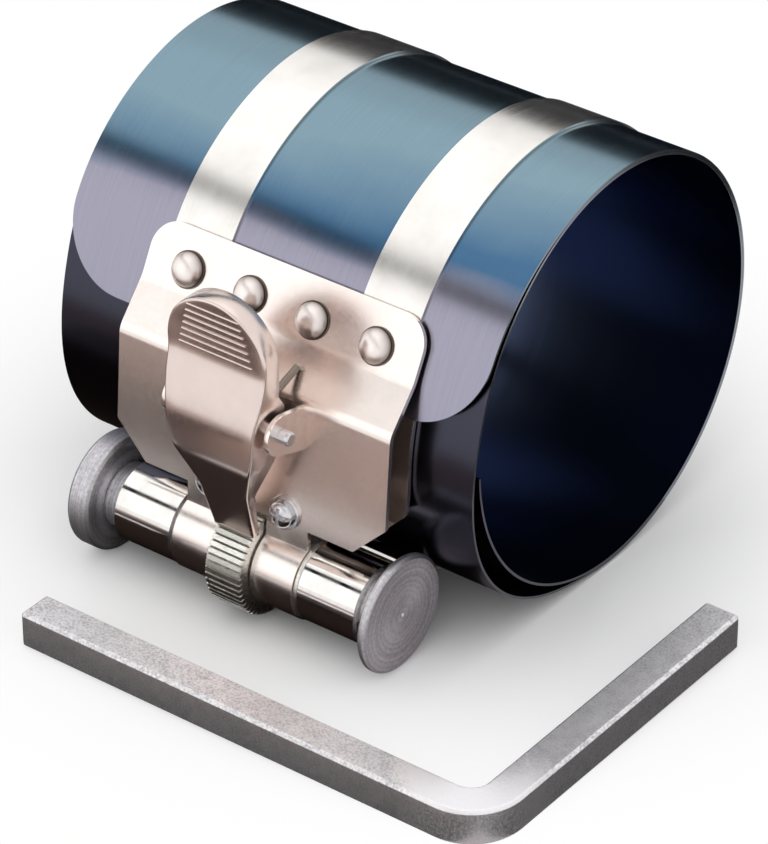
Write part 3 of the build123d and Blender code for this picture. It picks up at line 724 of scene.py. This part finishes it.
def lever_shell(rim, corner=6, columns=12):
    """Vertices and faces of the lever's outer side: walls, rounded rim and face, row by row upwards."""
    pin = box_centre("lever_pin") / MM
    verts, faces = [], []
    for half, z, in_x, in_z in lever_outline():
        section = [(half, z, min(along(LEVER_BACK, z), along(LEVER_FACE, z, LEVER_BLUR) - rim * 1.2))]
        for i in range(corner + 1):
            turn = math.pi / 2 * i / corner
            inset = rim * (1 - math.cos(turn))
            x, height = max(half + in_x * inset, 0.0), z + in_z * inset
            section.append((x, height, along(LEVER_FACE, height, LEVER_BLUR) - rim * (1 - math.sin(turn))))
        edge_x, edge_z, edge_y = section[-1]
        inner = [(edge_x * (1 - 2 * i / columns), edge_z, edge_y) for i in range(1, columns)]
        whole = section + inner + [(-x, z, y) for x, z, y in reversed(section)]
        verts += [Vector((lever_middle_x / MM + x, pin.y - y, pin.z + z)) * MM for x, z, y in whole]
        width = len(whole)
        if len(verts) > width:
            first = len(verts) - 2 * width
            faces += [(i, width + i, width + i + 1, i + 1) for i in range(first, first + width - 1)]
    return verts, faces


def pressed_lever(name, thickness, rim, edge):
    """The lever as one pressed sheet: the outer side thickened inwards, its sheared edges broken."""
    verts, faces = lever_shell(rim / MM)
    mesh = bpy.data.meshes.new(name)
    mesh.from_pydata(verts, [], faces)
    with_shape(mesh, weld, lambda shape: bmesh.ops.dissolve_degenerate(shape, dist=WELD, edges=shape.edges))
    carrier = carrying(mesh)
    sheet = carrier.modifiers.new("Sheet", "SOLIDIFY")
    sheet.thickness = thickness
    sheet.offset = -1.0
    bevelled(carrier, edge, 1, 60)
    return smoothed(evaluated_mesh(carrier), 50)


def grow(tree, values, material, sharp=35.0):
    """Runs a geometry tree with named inputs on an empty mesh and returns the plain mesh."""
    carrier = carrying(bpy.data.meshes.new("carrier"))
    modifier = carrier.modifiers.new("Grow", "NODES")
    modifier.node_group = tree
    names = {item.name: item.identifier for item in tree.interface.items_tree if item.in_out == "INPUT"}
    for name, value in {**values, "Finish": material}.items():
        modifier[names[name]] = value
    mesh = evaluated_mesh(carrier)
    with_shape(mesh, weld, lambda shape: bmesh.ops.recalc_face_normals(shape, faces=shape.faces))
    return smoothed(mesh, sharp)


# Parts of the geometry trees

def geometry_tree(name, numbers, counts=(), places=()):
    """A new geometry tree with its inputs by kind, a Finish material and one Geometry output."""
    tree = bpy.data.node_groups.new(name, "GeometryNodeTree")
    kinds = {"Float": numbers, "Int": counts, "Vector": places, "Material": ("Finish",)}
    for kind, labels in kinds.items():
        for label in labels:
            tree.interface.new_socket(label, in_out="INPUT", socket_type="NodeSocket" + kind)
    tree.interface.new_socket("Geometry", in_out="OUTPUT", socket_type="NodeSocketGeometry")
    outputs = add(tree, "NodeGroupInput").outputs
    return tree, {label: Value(outputs[label]) for labels in kinds.values() for label in labels}


def end_tree(tree, geometry, given):
    """Ends a geometry tree: instances made real, material set."""
    real = made(tree, "GeometryNodeRealizeInstances", {"Geometry": geometry})
    dressed = made(tree, "GeometryNodeSetMaterial", {"Geometry": real, "Material": given["Finish"]})
    add(tree, "NodeGroupOutput", {"Geometry": dressed})
    return tree


def here(tree):
    return made(tree, "GeometryNodeInputPosition")


def moved(tree, geometry, place):
    return made(tree, "GeometryNodeSetPosition", {"Geometry": geometry, "Position": place})


def marked(tree, geometry, name, value):
    """The geometry with a named number kept at each of its points."""
    return made(tree, "GeometryNodeStoreNamedAttribute", {"Geometry": geometry, "Name": name, "Value": value},
                data_type="FLOAT", domain="POINT")


def joined(tree, *pieces):
    node = add(tree, "GeometryNodeJoinGeometry")
    for piece in pieces:
        connect(piece, node.inputs["Geometry"])
    return Value(node.outputs["Geometry"])


def combined(tree, operation, shapes, first=None):
    """A boolean of closed shapes, taken from or joined with the first where there is one."""
    node = add(tree, "GeometryNodeMeshBoolean", operation=operation, solver="EXACT")
    if first:
        connect(first, node.inputs["Mesh 1"])
    for shape in shapes:
        connect(shape, node.inputs["Mesh 2"])
    return Value(node.outputs["Mesh"])


def placed(tree, kind, offset, **inputs):
    """A mesh primitive moved along Z."""
    inputs = {key.replace("_", " "): value for key, value in inputs.items()}
    shape = made(tree, "GeometryNodeMesh" + kind, inputs)
    return made(tree, "GeometryNodeTransform", {"Geometry": shape, "Translation": vector(tree, Z=offset)})


def copies(tree, points, shape, turn, **inputs):
    return made(tree, "GeometryNodeInstanceOnPoints",
                {"Points": points, "Instance": shape, "Rotation": turn, **inputs})


def swept(tree, count, there, section):
    """A section carried along a line of points, whose ends are closed."""
    line = made(tree, "GeometryNodeMeshLine", {"Count": count, "Offset": (MM, 0, 0)})
    curve = made(tree, "GeometryNodeMeshToCurve", {"Mesh": moved(tree, line, there)})
    inputs = {"Curve": curve, "Profile Curve": section, "Fill Caps": True}
    return made(tree, "GeometryNodeCurveToMesh", inputs)


def dome(tree, radius, height, base):
    """Round cap of a radius and height whose flat underside stands at base."""
    ball = made(tree, "GeometryNodeMeshUVSphere", {"Segments": 48, "Rings": 32, "Radius": 1.0})
    x, y, z = split(tree, here(tree))
    return moved(tree, ball, vector(tree, X=x * radius, Y=y * radius, Z=z.by("MAXIMUM") * height + base))


def row(tree, given, head):
    """The head at each point of a row along X, tilted about X; ends the tree."""
    line = made(tree, "GeometryNodeMeshLine", {"Count": given["Count"], "Start Location": given["Start"],
                                               "Offset": vector(tree, X=given["Spacing"])})
    return end_tree(tree, copies(tree, line, head, vector(tree, X=given["Tilt"])), given)


# Geometry trees of the pieces

# Points along the sleeve, a strap and the spring, along one tooth and round the wheel's section
SLEEVE_POINTS = 560
STRAP_POINTS = 400
SPRING_POINTS = 220
TOOTH_POINTS = 3
SECTION_POINTS = 7

# Band angles in degrees over which the sheet steps out over its own end, bulges, lifts and flares
STEP = (-310, -362)
BULGE = (-343, -443)
LIFT = (-645, -692.4)
FLARE = (-692.4, -710.5)


def rivet_row_tree():
    """Domed heads, each on a flat rim. head_height counts from 0 at the seat to 1 at the crown."""
    tree, given = geometry_tree("rivet_row", (
        "Spacing", "Tilt", "Head Radius", "Head Height", "Rim Radius", "Rim Height"), ("Count",), ("Start",))
    height, base = given["Head Height"], given["Rim Height"]
    rim = placed(tree, "Cylinder", base * 0.5, Vertices=48, Radius=given["Rim Radius"], Depth=base)
    head = joined(tree, dome(tree, given["Head Radius"], height - base, base), rim)
    return row(tree, given, marked(tree, head, "head_height", split(tree, here(tree))[2] / height))


def screw_row_tree():
    """Pan heads with a cross recess, each on its shank."""
    tree, given = geometry_tree("screw_row", (
        "Spacing", "Tilt", "Head Radius", "Head Height", "Recess", "Shank Radius", "Shank Length"),
        ("Count",), ("Start",))
    height, radius, recess, shank = (given[name] for name in (
        "Head Height", "Head Radius", "Recess", "Shank Length"))
    wall = height * 0.35
    side = placed(tree, "Cylinder", wall * 0.5, Vertices=48, Radius=radius, Depth=wall)
    head = combined(tree, "UNION", (side, dome(tree, radius, height - wall, wall)))
    reach = radius * 1.35
    arms = [placed(tree, "Cube", height, Size=vector(tree, X=x, Y=y, Z=height))
            for x, y in ((reach, recess), (recess, reach))]
    cut = combined(tree, "DIFFERENCE", arms, head)
    stem = placed(tree, "Cylinder", shank * -0.5, Vertices=32, Radius=given["Shank Radius"], Depth=shank)
    return row(tree, given, joined(tree, cut, stem))


def pad_ribs_tree():
    """Rounded ribs side by side along X, each a little longer than the one above."""
    tree, given = geometry_tree("pad_ribs", ("Radius", "First Length", "Last Length"), ("Count",),
                                ("First", "Last"))
    line = made(tree, "GeometryNodeMeshLine", {"Count": given["Count"], "Start Location": given["First"],
                                               "Offset": given["Last"]}, mode="END_POINTS")
    rib = placed(tree, "Cylinder", 0.0, Vertices=12, Radius=given["Radius"], Depth=1.0)
    share = made(tree, "GeometryNodeInputIndex") / (given["Count"] - 1)
    reach = share * (given["Last Length"] - given["First Length"]) + given["First Length"]
    ribs = copies(tree, line, rib, (0, math.pi / 2, 0), Scale=vector(tree, X=1.0, Y=1.0, Z=reach))
    return end_tree(tree, ribs, given)


def ratchet_wheel_tree():
    """Saw teeth round a bore. Lanes 0 and 6 are the bore's left edge, 1 to 4 the rim from left to right,
    and 5 the bore's right edge."""
    tree, given = geometry_tree("ratchet_wheel", (
        "Radius", "Depth", "Rise", "Land", "Chamfer", "Bore", "Width"), ("Teeth",), ("Centre",))
    steps = given["Teeth"] * TOOTH_POINTS
    grid = made(tree, "GeometryNodeMeshGrid", {"Size X": 1.0, "Size Y": 1.0, "Vertices X": steps + 1,
                                               "Vertices Y": SECTION_POINTS})
    along_rim, across_rim, _ = split(tree, here(tree))
    step = ((along_rim + 0.5) * steps).by("ROUND")
    tooth = ((step + 0.5) / TOOTH_POINTS).by("FLOOR")
    phase = step - tooth * TOOTH_POINTS
    share = phase.by("COMPARE", 1, 0.5) * given["Rise"] + phase.by("COMPARE", 2, 0.5) * given["Land"]
    angle = (tooth + share) / given["Teeth"] * (2 * math.pi)
    lane = ((across_rim + 0.5) * (SECTION_POINTS - 1)).by("ROUND")
    inner_lane, outer_lane = lane.by("COMPARE", 2.5, 0.6), lane.by("COMPARE", 2.5, 1.6)
    crest = given["Radius"] - phase.by("COMPARE", 0, 0.5) * given["Depth"]
    outer = crest - (outer_lane - inner_lane) * given["Chamfer"]
    radius = given["Bore"] + outer_lane * (outer - given["Bore"])
    half = given["Width"] * 0.5 - inner_lane * given["Chamfer"]
    side = lane.by("COMPARE", 4, 1.1) * 2 - 1
    ring = vector(tree, X=half * side, Y=radius * angle.by("COSINE"), Z=radius * angle.by("SINE"))
    return end_tree(tree, moved(tree, grid, vector_maths(tree, "ADD", ring, given["Centre"])), given)


def torsion_spring_tree():
    """Round wire along one line: a straight leg, a left-hand coil round the pin, and a straight leg."""
    tree, given = geometry_tree("torsion_spring", (
        "Radius", "Pitch", "Turns", "First Angle", "First Leg", "Last Leg", "Wire Radius"), (), ("Start",))
    radius, pitch = given["Radius"], given["Pitch"]
    round_once = radius * (2 * math.pi)
    turn_length = (pitch ** 2 + round_once ** 2).by("SQRT")
    coil_length = turn_length * given["Turns"]
    whole = coil_length + given["First Leg"] + given["Last Leg"]
    reach = made(tree, "GeometryNodeInputIndex") / (SPRING_POINTS - 1) * whole - given["First Leg"]
    on_coil = reach.by("MAXIMUM").by("MINIMUM", coil_length)
    over = reach - on_coil
    turned = on_coil / turn_length
    angle = given["First Angle"] - turned * (2 * math.pi)
    across = over * round_once / turn_length
    cosine, sine = angle.by("COSINE"), angle.by("SINE")
    spot = vector(tree, X=turned * pitch + over * pitch / turn_length, Y=cosine * radius + across * sine,
                  Z=sine * radius - across * cosine)
    section = made(tree, "GeometryNodeCurvePrimitiveCircle",
                   {"Resolution": 16, "Radius": given["Wire Radius"]})
    wire = swept(tree, SPRING_POINTS, vector_maths(tree, "ADD", spot, given["Start"]), section)
    return end_tree(tree, wire, given)


SHEET_NUMBERS = ("Inner", "Outer", "Thickness", "Bulge", "Lift", "Flare", "Start", "End")


def sheet_radius(tree, given, angle):
    """Radius of the sheet's inner side at an angle that counts down along it: inner turn, step out over its
    own end, bulge, outer turn, and an end that lifts and flares to the bracket."""
    def ramp(span, smooth=True):
        return remap(tree, angle, math.radians(span[0]), math.radians(span[1]), smooth=smooth)

    step = ramp(STEP) * (given["Outer"] - given["Inner"])
    swing = (ramp(BULGE, False) - 0.5) * math.pi
    bulge = swing.by("COSINE") ** 2 * given["Bulge"]
    lift = ramp(LIFT) * given["Lift"]
    flare = ramp(FLARE, False) ** 2 * given["Flare"]
    return given["Inner"] - given["Thickness"] * 0.5 + step + bulge + lift + flare


def on_turn(tree, x, radius, angle):
    """Point at a radius and angle round the bore, counted up from the front."""
    return vector(tree, X=x, Y=radius * angle.by("COSINE") * -1, Z=radius * angle.by("SINE"))


def wound_sleeve_tree():
    """A sheet wound nearly twice round, with rounded corners at its outer end."""
    tree, given = geometry_tree("wound_sleeve", (*SHEET_NUMBERS, "Half Length", "Corner"))
    grid = made(tree, "GeometryNodeMeshGrid",
                {"Size X": 1.0, "Size Y": 2.0, "Vertices X": SLEEVE_POINTS, "Vertices Y": 2})
    along_sheet, across_sheet, _ = split(tree, here(tree))
    corner, end = given["Corner"], given["End"]
    angle = (0.5 - along_sheet) ** 1.3 * (given["Start"] - end) + end
    inset = (corner - (angle - end) * given["Outer"]).by("MAXIMUM")
    cut = corner - (corner ** 2 - inset ** 2).by("MAXIMUM").by("SQRT")
    half = given["Half Length"] - cut
    there = on_turn(tree, across_sheet * half, sheet_radius(tree, given, angle), angle)
    inner = moved(tree, marked(tree, grid, "sheet_angle", angle), there)
    out = vector_maths(tree, "NORMALIZE", beside_axis(tree, here(tree)))
    outer = made(tree, "GeometryNodeExtrudeMesh", {"Mesh": inner, "Offset": out, "Individual": False,
                                                   "Offset Scale": given["Thickness"]}, mode="FACES")
    back = made(tree, "GeometryNodeFlipFaces", {"Mesh": inner})
    return end_tree(tree, joined(tree, outer, back), given)


def wound_strap_tree():
    """A strip laid over the sheet from its riveted end back round to the bulge, then straight to its roll."""
    tree, given = geometry_tree("wound_strap", (*SHEET_NUMBERS, "Middle", "Width", "Strip", "Gap"), (),
                                ("Roll End",))
    index = made(tree, "GeometryNodeInputIndex")
    angle = (index - 1) / (STRAP_POINTS - 2) * (given["End"] - given["Start"]) + given["Start"]
    under = given["Strip"] * 0.5 + (given["Thickness"] + given["Gap"])
    on_band = on_turn(tree, given["Middle"], sheet_radius(tree, given, angle) + under, angle)
    there = made(tree, "GeometryNodeSwitch", {"Switch": index.by("LESS_THAN", 0.5), "False": on_band,
                                              "True": given["Roll End"]}, "Output", input_type="VECTOR")
    section = made(tree, "GeometryNodeCurvePrimitiveQuadrilateral", {"Width": given["Width"],
                                                                     "Height": given["Strip"]})
    return end_tree(tree, swept(tree, STRAP_POINTS, there, section), given)


def sheet_values(look):
    return {"Inner": look.inner_radius, "Outer": look.outer_radius, "Thickness": look.thickness,
            "Bulge": look.bulge, "Lift": look.lift, "Flare": look.flare}


# Operators, one for each piece or group of like pieces

class COMPRESSOR_OT_sleeve(bpy.types.Operator):
    """Blued sheet wound nearly twice round the bore"""
    bl_idname = "compressor.sleeve"
    bl_label = "Sleeve"

    def execute(self, context):
        look = settings("sleeve")
        material = finish("blued_spring_steel")
        mesh = grow(wound_sleeve_tree(), {
            **sheet_values(look), "Half Length": half_length, "Corner": look.corner, "Start": look.start,
            "End": look.end}, material)
        new_piece("sleeve", mesh, material, body_of("band_sheet"), "blued_spring_steel", "band_sheet")
        return {"FINISHED"}


class COMPRESSOR_OT_straps(bpy.types.Operator):
    """Two bright straps over the sleeve, and a polished finish on their wound ends"""
    bl_idname = "compressor.straps"
    bl_label = "Straps"

    def execute(self, context):
        look, strap = settings("sleeve"), settings("straps")
        material = finish("bright_strap_steel")
        tree = wound_strap_tree()
        for side in ("left", "right"):
            low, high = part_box("strap_" + side)
            spots = [vertex.co for vertex in frame["nodes"]["strap_" + side].data.vertices]
            roll_end = min(spots, key=lambda spot: spot.y + spot.z)
            near = [spot for spot in spots if (spot - roll_end).length < 2 * strap.thickness]
            foot = [spot for spot in near if spot.x == roll_end.x]
            roll_end = sum(foot, Vector()) / len(foot)
            roll_end.x = (low.x + high.x) / 2
            mesh = grow(tree, {
                **sheet_values(look), "Start": strap.start, "End": strap.end, "Middle": roll_end.x,
                "Width": high.x - low.x, "Strip": strap.thickness, "Gap": strap.gap,
                "Roll End": roll_end}, material)
            new_piece("wound_strap_" + side, mesh, material, body_of("strap_" + side), "bright_strap_steel",
                      "strap_" + side)
        paint("strap_roll_left", "strap_roll_right", look="polished_roll_steel")
        return {"FINISHED"}


class COMPRESSOR_OT_bracket(bpy.types.Operator):
    """Folded bracket with its sheared edges broken"""
    bl_idname = "compressor.bracket"
    bl_label = "Bracket"

    def execute(self, context):
        look = settings("bracket")
        soft_edged("bracket", look.edge, bend=look.fold)
        return {"FINISHED"}


class COMPRESSOR_OT_rivets(bpy.types.Operator):
    """Row of domed rivets on the bracket's seat"""
    bl_idname = "compressor.rivets"
    bl_label = "Rivets"

    def execute(self, context):
        look = settings("rivets")
        nodes = [f"bracket_rivet_{i + 1}" for i in range(look.count)]
        outward, upward = tilted(look.tilt)
        first, last = box_centre(nodes[0]), box_centre(nodes[-1])
        start = outward * (node_span(nodes[0], outward)[1] - look.height)
        start += upward * sum(node_span(nodes[0], upward)) / 2
        start.x = first.x
        material = finish("tumbled_rivet_steel")
        mesh = grow(rivet_row_tree(), {
            "Count": look.count, "Spacing": (last.x - first.x) / (look.count - 1), "Start": start,
            "Tilt": math.pi / 2 - look.tilt, "Head Radius": look.radius, "Head Height": look.height,
            "Rim Radius": look.rim_radius, "Rim Height": look.rim_height}, material)
        new_piece("rivet_heads", mesh, material, body_of(nodes[0]), "nickel_plate", *nodes)
        return {"FINISHED"}


class COMPRESSOR_OT_lever(bpy.types.Operator):
    """Pressed release lever and its pin"""
    bl_idname = "compressor.lever"
    bl_label = "Release Lever"

    def execute(self, context):
        look = settings("bracket")
        # The lever takes the darker copy of the nickel, a painted shade
        material = finish("shaded_lever_nickel")
        mesh = pressed_lever("lever_sheet", look.lever_sheet, look.rim, look.edge)
        new_piece("pressed_lever", mesh, material, body_of("release_lever"), "nickel_plate", "release_lever")
        pin = box_centre("lever_pin")
        ends = [Vector((lever_middle_x, pin.y - along(LEVER_FACE, z, LEVER_BLUR) * MM, pin.z + z * MM))
                for z in RIB_HEIGHTS]
        mesh = grow(pad_ribs_tree(), {
            "Count": look.ribs, "First": ends[0], "Last": ends[1], "Radius": look.rib_radius,
            "First Length": look.first_rib, "Last Length": look.last_rib}, material)
        new_piece("pad_ribs", mesh, material, body_of("release_lever"), "nickel_plate")
        soft_edged("lever_pin", look.edge)
        return {"FINISHED"}


class COMPRESSOR_OT_spring(bpy.types.Operator):
    """Torsion spring round the lever's pin"""
    bl_idname = "compressor.spring"
    bl_label = "Torsion Spring"

    def execute(self, context):
        look = settings("spring")
        turn = math.hypot(look.pitch, 2 * math.pi * look.radius)
        start = box_centre("lever_pin")
        drift = (look.plate_leg - look.lever_leg) * look.pitch / turn
        start.x = box_centre("torsion_spring").x - (look.pitch * look.turns + drift) / 2
        material = finish("spring_wire")
        mesh = grow(torsion_spring_tree(), {
            "Start": start, "Radius": look.radius, "Pitch": look.pitch, "Turns": look.turns,
            "First Angle": look.first_angle, "First Leg": look.lever_leg, "Last Leg": look.plate_leg,
            "Wire Radius": look.wire_radius}, material)
        new_piece("spring_coil", mesh, material, body_of("torsion_spring"), "spring_wire", "torsion_spring")
        return {"FINISHED"}


class COMPRESSOR_OT_shaft(bpy.types.Operator):
    """Winding shaft, collar and spacer"""
    bl_idname = "compressor.shaft"
    bl_label = "Winding Shaft"

    def execute(self, context):
        for node in ("winding_shaft", "socket_flange", "spacer_ring"):
            soft_edged(node, settings("shaft").edge)
        return {"FINISHED"}


class COMPRESSOR_OT_wheel(bpy.types.Operator):
    """Ratchet wheel between the two barrels"""
    bl_idname = "compressor.wheel"
    bl_label = "Ratchet Wheel"

    def execute(self, context):
        look = settings("shaft")
        low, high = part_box("ratchet_wheel")
        centre = shaft_centre.copy()
        centre.x = (low.x + high.x) / 2
        material = finish("milled_steel")
        mesh = grow(ratchet_wheel_tree(), {
            "Teeth": look.teeth, "Centre": centre, "Radius": (high.z - low.z) / 2, "Depth": look.tooth_depth,
            "Rise": look.tooth_rise, "Land": look.tooth_land, "Chamfer": look.tooth_chamfer,
            "Bore": look.bore, "Width": high.x - low.x}, material, sharp=20.0)
        new_piece("toothed_wheel", mesh, material, body_of("ratchet_wheel"), "milled_steel", "ratchet_wheel")
        return {"FINISHED"}


class COMPRESSOR_OT_fasteners(bpy.types.Operator):
    """Clamp screws, washers and nuts"""
    bl_idname = "compressor.fasteners"
    bl_label = "Fasteners"

    def execute(self, context):
        look = settings("screws")
        screws = ["clamp_screw_left", "clamp_screw_right"]
        outward, upward = tilted(look.tilt)
        left, right = (box_centre(node) for node in screws)
        inner, outer = node_span(screws[0], outward)
        start = outward * (outer - look.height) + upward * sum(node_span(screws[0], upward)) / 2
        start.x = left.x
        material = finish("zinc_fasteners")
        mesh = grow(screw_row_tree(), {
            "Count": len(screws), "Spacing": right.x - left.x, "Start": start,
            "Tilt": math.pi / 2 - look.tilt, "Head Radius": look.radius, "Head Height": look.height,
            "Recess": look.recess, "Shank Radius": look.shank,
            "Shank Length": outer - look.height - inner}, material)
        new_piece("screw_heads", mesh, material, body_of(screws[0]), "zinc_fasteners", *screws)
        for side in ("left", "right"):
            for kind in ("washer", "nut"):
                soft_edged(f"clamp_{kind}_{side}", settings("bracket").edge / 2)
        return {"FINISHED"}


class COMPRESSOR_OT_key(bpy.types.Operator):
    """Loose square key"""
    bl_idname = "compressor.key"
    bl_label = "Square Key"

    def execute(self, context):
        soft_edged("square_key", settings("key").edge, sharp=20.0)
        return {"FINISHED"}


# Stage

# Softboxes: centre, width and height in metres, power in watts
SOFTBOXES = {"overhead_softbox": ((-0.3, 0.1, 1.1), 1.6, 1.2, 1.4),
             "front_softbox": ((-0.75, -1.15, 0.5), 1.2, 0.95, 0.95)}

# Two cards that only the metal sees: centre, width and height in metres
CARDS = {"card_between_softboxes": ((-0.6, -0.64, 0.77), 4.0, 0.14),
         "card_behind": ((-0.9, 1.46, 0.3), 3.6, 0.9)}

# Sheets round the object's foot that only the metal sees, painted reflections of the shaded floor round it:
# colour, then reach in X, reach in Y and height above the floor in millimetres
PAINTED_REFLECTIONS = {"painted_reflection_behind": ("#0A0B10", (-2100, 900), (100, 1400), 0.05),
          "painted_reflection_under_sleeve": ("#2E2522", (-200, 30), (-72.5, 100), 0.05),
          "painted_reflection_beside_head": ("#BDB6B8", (30, 69), (-72.5, 20), 0.05),
          "painted_reflection_before_key": ("#3A3837", (-30, 80), (-84, -72.5), 0.05),
          "painted_reflection_beside_key": ("#3A3837", (69, 120), (-72.5, 50), 0.05),
          "painted_reflection_in_front": ("#A08C84", (-200, 80), (-140, -84), 0.05),
          "patch_before_lever": ("#4E4444", (-50, -29), (-115, -76), 0.1),
          "patch_at_left": ("#5E5A59", (-80, -50), (-100, -72.5), 0.15)}

# Distances from the upright line through the origin, in metres, between which the floor turns white
FLOOR_FADE = (0.04, 0.1)

# Strength of the world's light on everything but the metal
FILL = 0.95

# Point that the camera looks at, in millimetres
CAMERA_AIM = (4.385, -11.585, -17.424)


def matte(tree, colour):
    return made(tree, "ShaderNodeBsdfDiffuse", {"Color": opaque(colour)})


def flat_panel(name, centre, facing, width, height, material):
    """A flat rectangle at a centre that faces a point, with its width level."""
    turn = (Vector(centre) - Vector(facing)).normalized().to_track_quat("Z", "Y").to_matrix()
    corners = [Vector(centre) + turn @ Vector((x * width / 2, y * height / 2, 0))
               for x, y in ((-1, -1), (1, -1), (1, 1), (-1, 1))]
    mesh = bpy.data.meshes.new(name)
    mesh.from_pydata(corners, [], [(0, 1, 2, 3)])
    mesh.materials.append(material)
    panel = carrying(mesh, name)
    return panel


def studio_light(name, centre, width, height, power):
    """A rectangular softbox that faces the origin."""
    lamp = bpy.data.lights.new(name, "AREA")
    lamp.shape = "RECTANGLE"
    lamp.size = width
    lamp.size_y = height
    lamp.energy = power
    light = carrying(lamp, name)
    light.location = centre
    light.rotation_mode = "QUATERNION"
    light.rotation_quaternion = Vector(centre).to_track_quat("Z", "Y")


def seen_directly(tree):
    """1 for camera, glossy and transmission rays, 0 for the rest."""
    ray = add(tree, "ShaderNodeLightPath").outputs
    camera, glossy, through = (Value(ray[f"Is {kind} Ray"]) for kind in ("Camera", "Glossy", "Transmission"))
    return camera.by("MAXIMUM", glossy).by("MAXIMUM", through)


def from_origin(tree, near, far):
    """0 nearer to the upright line through the origin than near, 1 beyond far."""
    place = made(tree, "ShaderNodeTexCoord", output="Object")
    return remap(tree, length(tree, vector_maths(tree, "MULTIPLY", place, (1, 1, 0))), near, far, smooth=True)


class COMPRESSOR_OT_stage(bpy.types.Operator):
    """Pale floor, soft studio light, dark cards for the metal to reflect, and the camera"""
    bl_idname = "compressor.stage"
    bl_label = "Stage"

    def execute(self, context):
        look = settings("stage")
        scene = context.scene
        scene.view_settings.view_transform = "Standard"
        self.floor(look)
        self.world(scene)
        for name, (centre, width, height, power) in SOFTBOXES.items():
            studio_light(name, centre, width, height, power)
        self.cards_and_painted_reflections()
        self.camera(scene, look)
        return {"FINISHED"}

    def floor(self, look):
        """Pale near the object, where it holds the shadow, and pure white further out."""
        def surface(tree):
            white = made(tree, "ShaderNodeEmission", {"Color": (1, 1, 1, 1), "Strength": 1.0})
            far = seen_directly(tree) * from_origin(tree, *FLOOR_FADE)
            return made(tree, "ShaderNodeMixShader", {0: far, 1: matte(tree, look.floor), 2: white})

        centre = (0, 0, floor_z - 0.01 * MM)
        flat_panel("floor", centre, (0, 0, -1), 6, 6, shaded("pale_floor", surface))

    def world(self, scene):
        """White to the camera and in metal; a plain grey fill for everything else."""
        scene.world = bpy.data.worlds.new("studio")
        scene.world.use_nodes = True
        tree = scene.world.node_tree
        tree.nodes.clear()
        strength = remap(tree, seen_directly(tree), 0, 1, FILL, 1.0)
        shade = made(tree, "ShaderNodeBackground", {"Color": (1, 1, 1, 1), "Strength": strength})
        add(tree, "ShaderNodeOutputWorld", {"Surface": shade})

    def cards_and_painted_reflections(self):
        """Dark cards between and behind the softboxes, and sheets of painted reflection round the object's
        foot.
        """
        card = shaded("dark_card", lambda tree: matte(tree, linear("#0A0B10")))
        panels = [flat_panel(name, centre, (0, 0, 0), width, height, card)
                  for name, (centre, width, height) in CARDS.items()]
        for name, (colour, xs, ys, height) in PAINTED_REFLECTIONS.items():
            # Each sheet is a painted reflection, seen by the metal only
            reflection_sheet = shaded(name, lambda tree: matte(tree, linear(colour)))
            x, y = sum(xs) / 2 * MM, sum(ys) / 2 * MM
            panels.append(flat_panel(name, (x, y, floor_z + height * MM), (x, y, -1),
                                     (xs[1] - xs[0]) * MM, (ys[1] - ys[0]) * MM, reflection_sheet))
        for panel in panels:
            panel.visible_camera = panel.visible_diffuse = panel.visible_shadow = False

    def camera(self, scene, look):
        data = bpy.data.cameras.new("camera")
        data.sensor_width = 36
        data.lens = look.lens
        data.clip_start = 0.01
        data.clip_end = 20
        camera = carrying(data, "camera")
        level = Vector((math.sin(look.azimuth), -math.cos(look.azimuth), 0))
        back = level * math.cos(look.elevation) + Vector((0, 0, math.sin(look.elevation)))
        right = Vector((math.cos(look.azimuth), math.sin(look.azimuth), 0))
        turn = Matrix((right, back.cross(right), back)).transposed() @ Matrix.Rotation(look.roll, 3, "Z")
        place = Vector(CAMERA_AIM) * MM + back * look.distance
        camera.matrix_world = Matrix.Translation(place) @ turn.to_4x4()
        scene.camera = camera


OPERATORS = (COMPRESSOR_OT_sleeve, COMPRESSOR_OT_straps, COMPRESSOR_OT_bracket, COMPRESSOR_OT_rivets,
             COMPRESSOR_OT_lever, COMPRESSOR_OT_spring, COMPRESSOR_OT_shaft, COMPRESSOR_OT_wheel,
             COMPRESSOR_OT_fasteners, COMPRESSOR_OT_key, COMPRESSOR_OT_stage)


class COMPRESSOR_PT_panel(bpy.types.Panel):
    """Lists the pieces of the ring compressor"""
    bl_label = "Ring Compressor"
    bl_space_type = "VIEW_3D"
    bl_region_type = "UI"
    bl_category = "Ring Compressor"

    def draw(self, context):
        for operator in OPERATORS:
            self.layout.operator(operator.bl_idname)
        for group in SETTINGS:
            box = self.layout.box()
            for name in SETTINGS[group].__annotations__:
                box.prop(settings(group), name)


CLASSES = (*SETTINGS.values(), *OPERATORS, COMPRESSOR_PT_panel)


def register():
    for cls in CLASSES:
        bpy.utils.register_class(cls)
    for group, cls in SETTINGS.items():
        setattr(bpy.types.Scene, "compressor_" + group, PointerProperty(type=cls))


def unregister():
    for group in SETTINGS:
        delattr(bpy.types.Scene, "compressor_" + group)
    for cls in reversed(CLASSES):
        bpy.utils.unregister_class(cls)


def main():
    register()
    for operator in OPERATORS:
        group, name = operator.bl_idname.split(".")
        getattr(getattr(bpy.ops, group), name)()


if __name__ == "__main__":
    main()
